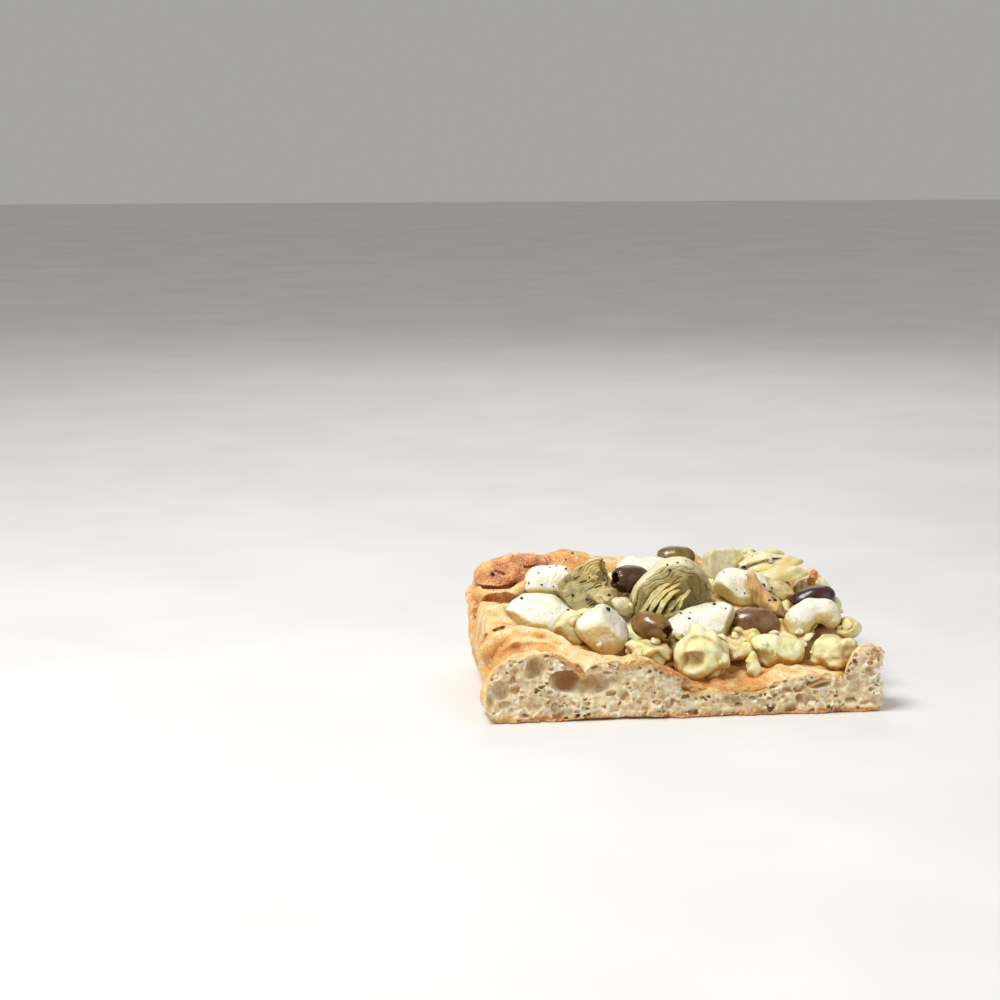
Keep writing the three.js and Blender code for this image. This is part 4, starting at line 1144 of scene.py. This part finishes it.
POTATOES = {
    "potato_mash": dict(at=(12, -3, 19), size=(50, 29, 6.6), turn=(11, 0, 0), seed=301, rough=0.05,
                        square=2.7, balls=330, ball=(0.28, 0.7), step=0.46, join=0.45),
    "potato_mash_back": dict(at=(6, 21, 28.5), size=(42, 10, 6), turn=(10, 2, 0), seed=305, rough=0.05,
                             square=2.7, balls=120, ball=(0.25, 0.6), step=0.46, join=0.45),
    "potato_left": dict(at=(-33, -15, 24), size=(7.4, 8, 7.6), turn=(0, 15, 10), seed=311, grain=0.2),
    "potato_front_left": dict(at=(-9.5, -31, 18), size=(9.4, 5.5, 4.8), turn=(0, 12, 0), seed=313,
                              rough=0.2),
    "potato_front_middle": dict(at=(8.6, -34, 17.8), size=(9.9, 8, 9), turn=(0, -8, 0), seed=315, grain=0.3,
                                facets=0, balls=13,
                                hollows=[((-5.6, -7.6, 1.0), (4.6, 3.6, 3.2)),
                                         ((5.5, -8.5, -4.0), (3.0, 2.6, 2.0))]),
    "potato_drip": dict(at=(26, -37, 12.9), size=(3, 3.2, 5.6), turn=(0, -14, 0), seed=319, balls=8,
                        grain=0.4),
    "potato_front_right": dict(at=(36.4, -28.5, 16.2), size=(8.8, 7.4, 6.4), turn=(0, 12, 0), seed=417,
                               grain=0.45, facets=2, balls=11),
    "potato_low_right": dict(at=(56.4, -28, 16.4), size=(8.2, 7.4, 6.4), turn=(0, -6, 0), seed=321,
                             grain=0.45),
    "potato_far_right": dict(at=(64.2, -17, 21.4), size=(4.7, 5.4, 4.8), turn=(0, 10, 0), seed=323, balls=8,
                             grain=0.3),
    "potato_right": dict(at=(60, 0, 24.6), size=(7, 7.4, 5.6), turn=(0, 0, 0), seed=329, balls=10,
                         grain=0.4),
    "potato_back": dict(at=(40, 31, 36.4), size=(9.4, 6.8, 4.8), turn=(0, 6, 0), seed=325, balls=70,
                        ball=(0.18, 0.4), grain=0.5, step=0.3, join=0.3),
    "potato_back_right": dict(at=(60, 19, 27.6), size=(7, 7, 5), turn=(0, 0, 30), seed=327),
}

MOZZARELLAS = {
    "mozzarella_left": dict(at=(-43.4, -1, 26), size=(12.6, 9.6, 4), turn=(24, 3, 0), seed=401, square=2.9,
                            rough=0.05,
                            facets=[(-0.7, -0.7, 0.1, 9.2), (0.9, 0.5, 0.2, 10.4), (-0.8, 0.6, 0.3, 10)]),
    "mozzarella_back_left": dict(at=(-37.8, 14, 34), size=(10, 6.6, 4.8), turn=(12, 0, 4), seed=403,
                                 square=2.8, rough=0.05,
                                 facets=[(0, -0.8, 0.6, 5.2), (-0.8, 0, 0.6, 7.6), (0.7, 0, 0.7, 7.8)]),
    "mozzarella_front_left": dict(at=(-24.3, -22, 25), size=(9.6, 7.6, 8), turn=(0, 30, 0), seed=405,
                                  square=2.4, rough=0.06,
                                  facets=[(0.3, -0.35, 0.9, 5.6), (-0.9, 0, 0.5, 8.0)]),
    "mozzarella_back": dict(at=(-1, 21, 36), size=(11.4, 8.5, 4.2), turn=(8, 2, -4), seed=407, square=2.8,
                            rough=0.05, facets=[(-0.6, 0, 0.8, 6.4)]),
    "mozzarella_middle": dict(at=(11.6, -17, 24.4), size=(13.2, 7.4, 5), turn=(26, -14, 4), seed=409,
                              square=2.7, rough=0.05,
                              facets=[(0.75, -0.66, 0, 8.6), (0.8, 0.6, 0, 11.0), (0, -0.5, 0.87, 4.8)]),
    "mozzarella_right_back": dict(at=(31.6, 7, 31.8), size=(10, 8, 6), turn=(16, 8, 0), seed=411, square=2.6,
                                  rough=0.05, facets=[(-0.7, -0.5, -0.5, 7.0), (0, -0.7, 0.7, 6.0)]),
    "mozzarella_right": dict(at=(52, -15, 24.6), size=(10.6, 6.4, 7.6), turn=(0, 0, 0), seed=413,
                             path=((-5.8, -1.6, -4.6, 3.9), (-5.2, -1, 0.4, 4.7), (-0.8, 0.4, 3.0, 4.3),
                                   (4.6, 0, 3.0, 4.3), (6.4, -1, 0.4, 3.5))),
}

ARTICHOKES = {
    "artichoke_left": dict(at=(-34.7, -1, 31.4), size=(21, 7.6), turn=(-122, -22, 12), seed=501,
                           flare=0.0, begin=0.2, close=0.72, layers=10, gape=0.0, wavy=1.6, ragged=0.05,
                           fray=0.34),
    "artichoke_middle": dict(at=(4.4, -11, 27), size=(25, 16), turn=(0, -6, 84), seed=511, begin=0.46,
                             flare=0, layers=6, shift=3, ragged=0.12, wavy=0.9, dark=0.75,
                             profile=((-90, 0.83), (-60, 0.83), (-45, 0.87), (-30, 0.95), (-13, 1.04),
                                      (-4, 1.06), (8, 1.05), (19, 1.03), (36, 0.97), (57, 0.99), (90, 1.0)),
                             hollows=[((-2.0, -3.8, 5.0), (6.0, 9.2, 9.8)), ((0, 5.5, 2.5), (9, 6, 5))]),
    "artichoke_back_right": dict(at=(32, 17, 33.6), size=(19, 6.8), turn=(-60, 0, 4), seed=521, flare=0.2,
                                 layers=5, ragged=0.4),
    "artichoke_right": dict(at=(37.4, 9, 30), size=(16, 7.0), turn=(-112, 2, 8), seed=531, flare=0.3,
                            layers=5, ragged=0.35),
}

HEARTS = {
    "artichoke_heart_back": dict(at=(28.3, 22, 37), size=(7.6, 4.4, 6), turn=(-10, 0, 6), seed=551,
                                 square=4.6, rough=0.04, edge=0.5,
                                 facets=[(0, -1, 0, 3.4), (0.85, 0, 0.5, 7.0)]),
    "artichoke_strip": dict(at=(36.8, -3, 30.6), size=(8.6, 7, 9.4), turn=(0, 0, 0), seed=541,
                            path_flat=(1, 1.6, 1),
                            path=((-4.2, 1.6, 7.4, 1.9), (-2.8, 1.2, 3.4, 2.6), (0.0, 0.2, -0.8, 3.0),
                                  (3.6, -1.8, -3.6, 3.1), (5.8, -2.8, -5.6, 2.2))),
    "artichoke_scrap": dict(at=(-15.3, -9, 30), size=(4.2, 3, 2.6), turn=(0, 34, 0), seed=543),
}

# The crushed lower corner of the left artichoke.
CRUMBLE = dict(at=(-19.4, -3.2, 31.6), size=(6.4, 4.4, 3.6), turn=(0, 12, -8), seed=561, rough=0.2, balls=34,
               ball=(0.22, 0.42), grain=0.5, step=0.3, join=0.3)

# Loose leaves of the artichokes: base, tip, the way the outside faces, and width.
BLADES = [
    dict(base=(34, 17.5, 35.0), tip=(56, 15.0, 38.8), up=(0, -0.5, 1), width=9.5, seed=701, point=3.0,
         thick=1.4),
    dict(base=(33, 20, 36.0), tip=(50.5, 21, 40.6), up=(0, -0.3, 1), width=8.5, seed=705, point=3.0,
         thick=1.3),
    dict(base=(36, 13, 32.6), tip=(57, 10.5, 35.4), up=(0.2, -0.8, 1), width=9.0, seed=707, point=3.0,
         thick=1.4),
    dict(base=(39, 10, 32), tip=(50.5, 4.5, 27.6), up=(0.5, -1, 0.6), width=8.5, seed=709, lift=1.4,
         point=3.0, thick=1.3),
    dict(base=(-9.8, -12.5, 26.2), tip=(6.5, -8.6, 40.6), up=(-0.4, -0.3, 0.6), width=3.0, seed=713,
         lift=2.6, camber=0.5),
    dict(base=(-7.6, -13.4, 26.4), tip=(5.6, -10.6, 38.4), up=(-0.5, -0.3, 0.5), width=3.2, seed=715,
         lift=2.0, camber=0.4),
    dict(base=(-3.6, -14.4, 25.6), tip=(4.6, -11.8, 36.0), up=(-0.9, -0.4, 0.3), width=3.8, seed=717,
         lift=2.6, camber=0.6),
    dict(base=(-0.6, -13.6, 25.6), tip=(6.4, -11.2, 33.4), up=(-0.7, -0.4, 0.6), width=3.0, seed=719,
         lift=1.8, camber=0.4),
    dict(base=(2.6, -13.2, 26.0), tip=(8.6, -11.0, 35.6), up=(-0.8, -0.4, 0.4), width=2.8, seed=721,
         lift=1.0, camber=0.4),
    dict(base=(-2.0, -13.4, 26.6), tip=(9.6, -12.8, 27.6), up=(0, -0.5, 1), width=3.0, seed=723, lift=0.9,
         camber=0.4),
]

OLIVES = {
    "olive_front": dict(at=(-7.6, -24.6, 26), turn=(0, 10, -40), length=15.4, width=10.2, seed=601, torn=1.0,
                        colours=((138, 100, 44), (94, 62, 24), (172, 104, 44))),
    "olive_right": dict(at=(31, -14, 23.4), turn=(0, -4, 170), length=18.2, width=12.2, seed=605,
                        colours=((128, 90, 52), (88, 56, 24), (120, 70, 30))),
    "olive_left": dict(at=(-10, 2.4, 36.8), turn=(0, -10, 205), length=17, width=10.4, seed=609,
                       colours=((86, 46, 22), (50, 26, 12), (128, 76, 36))),
    "olive_back": dict(at=(11.3, 31, 38), turn=(0, 4, 170), length=15.4, width=9.2, seed=613,
                       colours=((128, 104, 44), (96, 70, 28), (150, 110, 60))),
    "olive_far_right": dict(at=(54.4, -3, 29), turn=(0, 16, 170), length=17.4, width=9.2, seed=617,
                            colours=((70, 26, 22), (36, 16, 18), (90, 40, 24))),
}


class FocacciaPotato(bpy.types.PropertyGroup):
    pale: colour_of("Pale", "Palest potato", 240, 240, 200)
    yellow: colour_of("Yellow", "Yellow potato", 232, 226, 152)
    deep: colour_of("Deep", "Deeper yellow", 216, 190, 96)
    # The colour of the painted shade in crevices and hollows, on sides that face down and between pieces.
    crease: colour_of("Crease", "In crevices and hollows", 188, 136, 42)


class FocacciaMozzarella(bpy.types.PropertyGroup):
    white: colour_of("White", "White of the cheese", 240, 238, 224)
    cream: colour_of("Cream", "Creamier patches", 237, 229, 198)
    # The creamy yellow of the painted shade on the sides that face down and between pieces.
    edge: colour_of("Edge", "Lower edges", 226, 204, 128)
    oil: colour_of("Oil", "Oil stains", 222, 176, 84)


class FocacciaArtichoke(bpy.types.PropertyGroup):
    grey_green: colour_of("Grey green", "Leaf", 222, 210, 154)
    olive: colour_of("Olive", "Darker leaf", 190, 172, 106)
    yellow: colour_of("Yellow", "Tips and edges", 232, 208, 132)
    brown: colour_of("Brown", "Fibres", 156, 120, 62)
    rim: colour_of("Rim", "Roasted spots", 216, 176, 112)
    strip: colour_of("Browned leaf", "Roasted strip", 226, 184, 122)
    strip_brown: colour_of("Brown leaf", "Darker on it", 192, 146, 88)
    line: colour_of("Line", "Between the layers", 122, 96, 48)
    # Colour of the painted shade between pieces and on the shaded side of the middle heart.
    shade: colour_of("Shade", "Between pieces", 132, 104, 46)
    heart_pale: colour_of("Heart", "Pale heart", 232, 224, 188)
    heart_olive: colour_of("Heart shade", "Darker heart", 206, 196, 146)


class FocacciaOlive(bpy.types.PropertyGroup):
    pit: FloatProperty(name="Pit", description="Radius of the hole left by the pit", default=0.0022,
                       unit="LENGTH")


class FocacciaPepper(bpy.types.PropertyGroup):
    count: IntProperty(name="Grains", description="Pepper grains scattered besides the placed ones",
                       default=110)
    size: FloatProperty(name="Grain size", description="Mean radius of a grain", default=0.00036,
                        unit="LENGTH")


class FOCACCIA_OT_potato(bpy.types.Operator):
    """Builds the crushed potato, spread out and in chunks"""
    bl_idname = "focaccia.potato"
    bl_label = "Potato"

    def execute(self, context):
        paint = potato_paint(context.scene.focaccia_potato)
        for name, spec in POTATOES.items():
            points, faces, crease = potato_shape(**spec)
            piece = make_mesh("crushed_" + name, points, faces, {"crease": crease})
            # Sides that face down, for the painted shade on them.
            set_values(piece.data, {"low": smooth((0.25 - normals_of(piece.data)[:, 2]) / 1.0)})
            piece.data.materials.append(paint)
            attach(piece, "root")
            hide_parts(name)
        return {"FINISHED"}


class FOCACCIA_OT_mozzarella(bpy.types.Operator):
    """Builds the pieces of mozzarella"""
    bl_idname = "focaccia.mozzarella"
    bl_label = "Mozzarella"

    def execute(self, context):
        paint = mozzarella_paint(context.scene.focaccia_mozzarella)
        for name, spec in MOZZARELLAS.items():
            points, faces = mozzarella_shape(**spec)
            piece = make_mesh("soft_" + name, points, faces)
            # Sides that face down, for the painted shade on them.
            rise = normals_of(piece.data)[:, 2] + 0.25 * cloud(*points.T, 3.0, 73)
            set_values(piece.data, {"low": smooth((0.55 - rise) / 0.9)})
            piece.data.materials.append(paint)
            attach(piece, "root")
            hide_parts(name)
        return {"FINISHED"}


class FOCACCIA_OT_artichoke(bpy.types.Operator):
    """Builds the halved artichoke hearts and the pieces of them"""
    bl_idname = "focaccia.artichoke"
    bl_label = "Artichoke"

    def execute(self, context):
        look = context.scene.focaccia_artichoke
        leaf = artichoke_paint(look, "artichoke_leaf", look.grey_green, look.olive)
        heart = artichoke_paint(look, "artichoke_heart", look.heart_pale, look.heart_olive, 0.1)
        browned = artichoke_paint(look, "artichoke_browned", look.strip, look.strip_brown, 0.4)
        for name, spec in ARTICHOKES.items():
            points, faces, along, laid, around, inner, dark = artichoke_shape(**spec)
            piece = make_mesh("leafy_" + name, points, faces,
                              {"tip": smooth(along), "lay": laid, "inner": inner, "dark": dark})
            long, radius = spec["size"]
            set_leaf(piece.data, np.stack([along * long, around * radius, laid * 1.5], 1))
            piece.data.materials.append(leaf)
            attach(piece, "root")
            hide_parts(name)
        for name, spec in HEARTS.items():
            points, faces = mozzarella_shape(**spec)
            local = points - np.array(spec["at"])
            plain = np.ones(len(points))
            piece = make_mesh("cut_" + name, points, faces,
                              {"tip": 0.2 * plain, "lay": 0.25 * plain, "inner": plain})
            set_leaf(piece.data, local[:, [2, 0, 1]])
            piece.data.materials.append(browned if name == "artichoke_strip" else heart)
            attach(piece, "root")
            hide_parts(name)
        points, faces, crease = potato_shape(**CRUMBLE)
        # Its crevices take the painted shade.
        piece = make_mesh("leafy_crumble", points, faces,
                          {"tip": 0 * crease, "lay": 0.25 + 0 * crease, "inner": 1 + 0 * crease,
                           "dark": 0.3 + 0.7 * crease})
        set_leaf(piece.data, points)
        piece.data.materials.append(leaf)
        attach(piece, "root")
        for i, spec in enumerate(BLADES):
            points, faces, along, across = blade_shape(**spec)
            piece = make_mesh("leafy_blade_%d" % i, points, faces,
                              {"tip": np.clip(0.35 + 0.5 * along + 0.25 * across ** 2, 0, 1),
                               "lay": 0.25 + 0 * along, "inner": 1 + 0 * along})
            length = np.linalg.norm(np.subtract(spec["tip"], spec["base"]))
            places = np.stack([along * length, across * spec["width"] / 2, 0 * along + 3.0 * i], 1)
            set_leaf(piece.data, places)
            piece.data.materials.append(heart if i < 3 else leaf)
            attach(piece, "root")
        return {"FINISHED"}


class FOCACCIA_OT_olives(bpy.types.Operator):
    """Builds the pitted olives"""
    bl_idname = "focaccia.olives"
    bl_label = "Olives"

    def execute(self, context):
        pit = context.scene.focaccia_olive.pit / MM
        for name, spec in OLIVES.items():
            shape = {key: value for key, value in spec.items() if key != "colours"}
            points, faces, inside = olive_shape(pit=pit, **shape)
            piece = make_mesh("pitted_" + name, points, faces, {"inside": inside})
            piece.data.materials.append(olive_paint(name + "_skin", *spec["colours"]))
            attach(piece, "root")
            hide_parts(name)
        return {"FINISHED"}


# Crumbs of potato and larger pepper grains: x and z of the point of the middle plane that each is seen
# against, and its radius. A crumb or grain lies on the first surface on the way there from the camera.
CRUMBS = [(23.1, 15.0, 1.3), (27.1, 15.6, 1.7), (30.8, 13.6, 1.1), (-1.6, 14.2, 1.5), (4.5, 14.4, 1.2),
          (7.4, 16.2, 1.7), (38.6, 11.9, 1.2), (42.3, 9.2, 0.9), (51.3, 16.4, 1.3), (56.0, 8.8, 0.8),
          (27.6, 8.2, 1.1), (-7.0, 10.0, 1.0), (22.2, 6.1, 0.8), (66.1, 17.4, 1.1), (-21.5, 13.7, 1.1),
          (39.7, 43.2, 1.2), (30.4, 46.2, 0.9), (-10.8, 27.7, 1.2)]
GRAINS = [(-60.0, 40.6, 0.9), (30.0, 41.0, 0.75), (-31.4, 32.2, 0.6), (-18.8, 26.6, 0.75),
          (-33.0, 26.8, 0.55)]

# The names of the pieces that grains fall on, and that close each other in, start so.
PIECES = ("crushed_", "soft_", "leafy_", "cut_", "pitted_", "bread_")

# Scattered pepper stays behind the front cut's edge and left of the right cut's.
PEPPER_FRONT, PEPPER_RIGHT = -42, 62


class FOCACCIA_OT_pepper(bpy.types.Operator):
    """Scatters pepper and crumbs of potato over the toppings, each on the surface that it falls on"""
    bl_idname = "focaccia.pepper"
    bl_label = "Pepper"

    def execute(self, context):
        look = context.scene.focaccia_pepper
        context.view_layer.update()
        graph = context.evaluated_depsgraph_get()
        trees = [BVHTree.FromObject(piece, graph) for piece in context.scene.objects
                 if piece.name.startswith(PIECES)]
        rng = np.random.RandomState(71)
        eye = Vector(context.scene.focaccia_stage.camera)

        def first_hit(start, way):
            hits = [t.ray_cast(start, way) for t in trees]
            hits = [(distance, place) for place, _, _, distance in hits if place is not None]
            return min(hits, key=lambda hit: hit[0])[1] if hits else None

        def seen_at(spots):
            found = [(first_hit(eye, (Vector((x * MM, 0, z * MM)) - eye).normalized()), r)
                     for x, z, r in spots]
            return [(place / MM, r) for place, r in found if place is not None]

        places = seen_at(GRAINS)
        centres = [(-34, 4), (-28, 2), (-44, -2), (-24, -22), (12, -17), (30, 20), (20, 0), (45, -10),
                   (-35, 14), (0, -28), (30, -20)]
        for _ in range(look.count):
            cx, cy = centres[rng.randint(len(centres))]
            start = Vector(((cx + rng.normal(0, 7)) * MM, (cy + rng.normal(0, 6)) * MM, 0.08))
            found = first_hit(start, Vector((0, 0.25, -1)).normalized())
            if found is not None and found.y > PEPPER_FRONT * MM and found.x < PEPPER_RIGHT * MM:
                places.append((found / MM, look.size / MM * rng.lognormal(0, 0.35)))
        self.lay("pepper_grains", places, rng, ball_grid(5, 8), 0.25, pepper_paint(), "bread")
        crumbs = self.lay("crushed_crumbs", seen_at(CRUMBS), rng, ball_grid(14, 22), 0.35,
                          bpy.data.materials["crushed_potato"], "potato")
        set_values(crumbs.data, {"crease": np.zeros(len(crumbs.data.vertices))})
        return {"FINISHED"}

    def lay(self, name, places, rng, ball, rough, paint, slot):
        """Joins uneven lumps at (place, radius) into one piece."""
        ball, faces = ball
        points, rings = [], []
        for i, (place, r) in enumerate(places):
            lump = ball * (1 + rough * cloud(*(ball.T + 3.7 * i), 0.9, 72))[:, None]
            points.append(lump * rng.uniform(0.7, 1.2, 3) * r + np.array(place))
            rings.append([f + i * len(ball) for f in faces])
        piece = make_mesh(name, np.concatenate(points), [np.concatenate(f) for f in zip(*rings)])
        piece.data.materials.append(paint)
        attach(piece, "root")
        return piece


class FOCACCIA_OT_painted_shade(bpy.types.Operator):
    """Marks how closed in each point of each piece is, for the painted shade that the materials put where
    pieces close each other in
    """
    bl_idname = "focaccia.juices"
    bl_label = "Painted_shade"

    def execute(self, context):
        cell, low, size = 0.7, np.array([-74, -54, -4]), np.array([148, 108, 58])
        full = np.zeros((size / cell).astype(int), np.float32)
        pieces = [piece for piece in context.scene.objects if piece.name.startswith(PIECES)]
        surfaces = []
        for piece in pieces:
            mesh = piece.data
            place, normal = points_of(mesh), normals_of(mesh)
            surfaces.append((mesh, place, normal))
            ends = np.empty(len(mesh.edges) * 2, np.int32)
            mesh.edges.foreach_get("vertices", ends)
            ends = ends.reshape(-1, 2)
            spots = np.concatenate([place, place[ends].mean(1)])
            ways = np.concatenate([normal, normal[ends].mean(1)])
            for depth in ((0.2, 0.6) if "blade" in piece.name else (0.2, 0.9, 1.6)):
                index = np.clip(((spots - ways * depth - low) / cell).astype(int), 0,
                                np.array(full.shape) - 1)
                full[tuple(index.T)] = 1
        full = box_blur(box_blur(full, 5), 3)
        middles = [low[i] + cell * (np.arange(full.shape[i]) + 0.5) for i in range(3)]
        for mesh, place, normal in surfaces:
            # The closeness that the materials paint as shade where other pieces close a point in.
            set_values(mesh, {"near": sample(middles, full, place + 1.2 * normal)})
        return {"FINISHED"}


# ---- stage ----
# Half the floor's width, and its height, just under the bread, in millimetres.
FLOOR_HALF, FLOOR_Z = 4000, -0.05


class FocacciaStage(bpy.types.PropertyGroup):
    camera: FloatVectorProperty(name="Camera", description="Place of the camera", unit="LENGTH",
                                default=(-0.14069, -0.717, 0.2008))
    yaw: FloatProperty(name="Yaw", description="Turn of the camera towards +X, in degrees", default=6.63)
    pitch: FloatProperty(name="Pitch", description="Tilt of the camera down, in degrees", default=10.5)
    lens: FloatProperty(name="Lens", description="Focal length in mm on a 36 mm sensor", default=75.6)


class FOCACCIA_OT_stage(bpy.types.Operator):
    """Lays the pale floor and sets the soft lights and the camera"""
    bl_idname = "focaccia.stage"
    bl_label = "Stage"

    def execute(self, context):
        look = context.scene.focaccia_stage
        corners = np.array([[-1, -1, 0], [1, -1, 0], [1, 1, 0], [-1, 1, 0]]) * FLOOR_HALF + (0, 0, FLOOR_Z)
        floor = make_mesh("floor", corners, [np.array([[0, 1, 2, 3]])])
        p = Paint("pale_floor", roughness=0.6)
        shade = p.noise(90, 2)
        floor.data.materials.append(p.finish(p.ramp(shade, (0.3, linear(222, 221, 219)),
                                                    (0.7, linear(228, 227, 225)))))
        world = bpy.data.worlds.new("studio")
        world.use_nodes = True
        world.node_tree.nodes["Background"].inputs[0].default_value = (1, 0.985, 0.96, 1)
        world.node_tree.nodes["Background"].inputs[1].default_value = 0.38
        context.scene.world = world
        for name, place, size, power in (("key_light", (-0.42, -0.2, 0.84), 0.42, 8.6),
                                         ("fill_light", (0.6, -0.75, 0.45), 0.7, 1.2),
                                         ("back_light", (0.15, 0.8, 0.6), 0.6, 1.4)):
            light = bpy.data.lights.new(name, "AREA")
            light.size = size
            light.energy = power
            lamp = bpy.data.objects.new(name, light)
            lamp.location = place
            direction = np.array([0, 0, 0.02]) - np.array(place)
            lamp.rotation_euler = (math.atan2(math.hypot(direction[0], direction[1]), -direction[2]), 0,
                                   math.atan2(direction[1], direction[0]) - math.pi / 2)
            context.scene.collection.objects.link(lamp)
        camera = bpy.data.cameras.new("camera")
        camera.sensor_width = 36
        camera.lens = look.lens
        camera.clip_start = 0.01
        eye = bpy.data.objects.new("camera", camera)
        eye.location = look.camera
        eye.rotation_euler = (math.radians(90 - look.pitch), 0, math.radians(-look.yaw))
        context.scene.collection.objects.link(eye)
        context.scene.camera = eye
        context.scene.view_settings.view_transform = "Standard"
        return {"FINISHED"}


class FOCACCIA_PT_panel(bpy.types.Panel):
    bl_label = "Focaccia"
    bl_idname = "FOCACCIA_PT_panel"
    bl_space_type = "VIEW_3D"
    bl_region_type = "UI"
    bl_category = "Focaccia"

    def draw(self, context):
        for operator in OPERATORS:
            self.layout.operator(operator.bl_idname)
        for key in SETTINGS:
            group = getattr(context.scene, key)
            box = self.layout.box()
            for name in group.__annotations__:
                box.prop(group, name)


OPERATORS = (FOCACCIA_OT_bread, FOCACCIA_OT_potato, FOCACCIA_OT_mozzarella, FOCACCIA_OT_artichoke,
             FOCACCIA_OT_olives, FOCACCIA_OT_pepper, FOCACCIA_OT_painted_shade, FOCACCIA_OT_stage)
SETTINGS = {"focaccia_bread": FocacciaBread, "focaccia_potato": FocacciaPotato,
            "focaccia_mozzarella": FocacciaMozzarella, "focaccia_artichoke": FocacciaArtichoke,
            "focaccia_olive": FocacciaOlive, "focaccia_pepper": FocacciaPepper,
            "focaccia_stage": FocacciaStage}


def register():
    for cls in (*SETTINGS.values(), *OPERATORS, FOCACCIA_PT_panel):
        bpy.utils.register_class(cls)
    for key, cls in SETTINGS.items():
        setattr(bpy.types.Scene, key, PointerProperty(type=cls))


def unregister():
    for key in SETTINGS:
        delattr(bpy.types.Scene, key)
    for cls in (FOCACCIA_PT_panel, *OPERATORS, *SETTINGS.values()):
        bpy.utils.unregister_class(cls)


def main():
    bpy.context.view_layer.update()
    register()
    for operator in OPERATORS:
        family, name = operator.bl_idname.split(".")
        getattr(getattr(bpy.ops, family), name)()


if __name__ == "__main__":
    main()
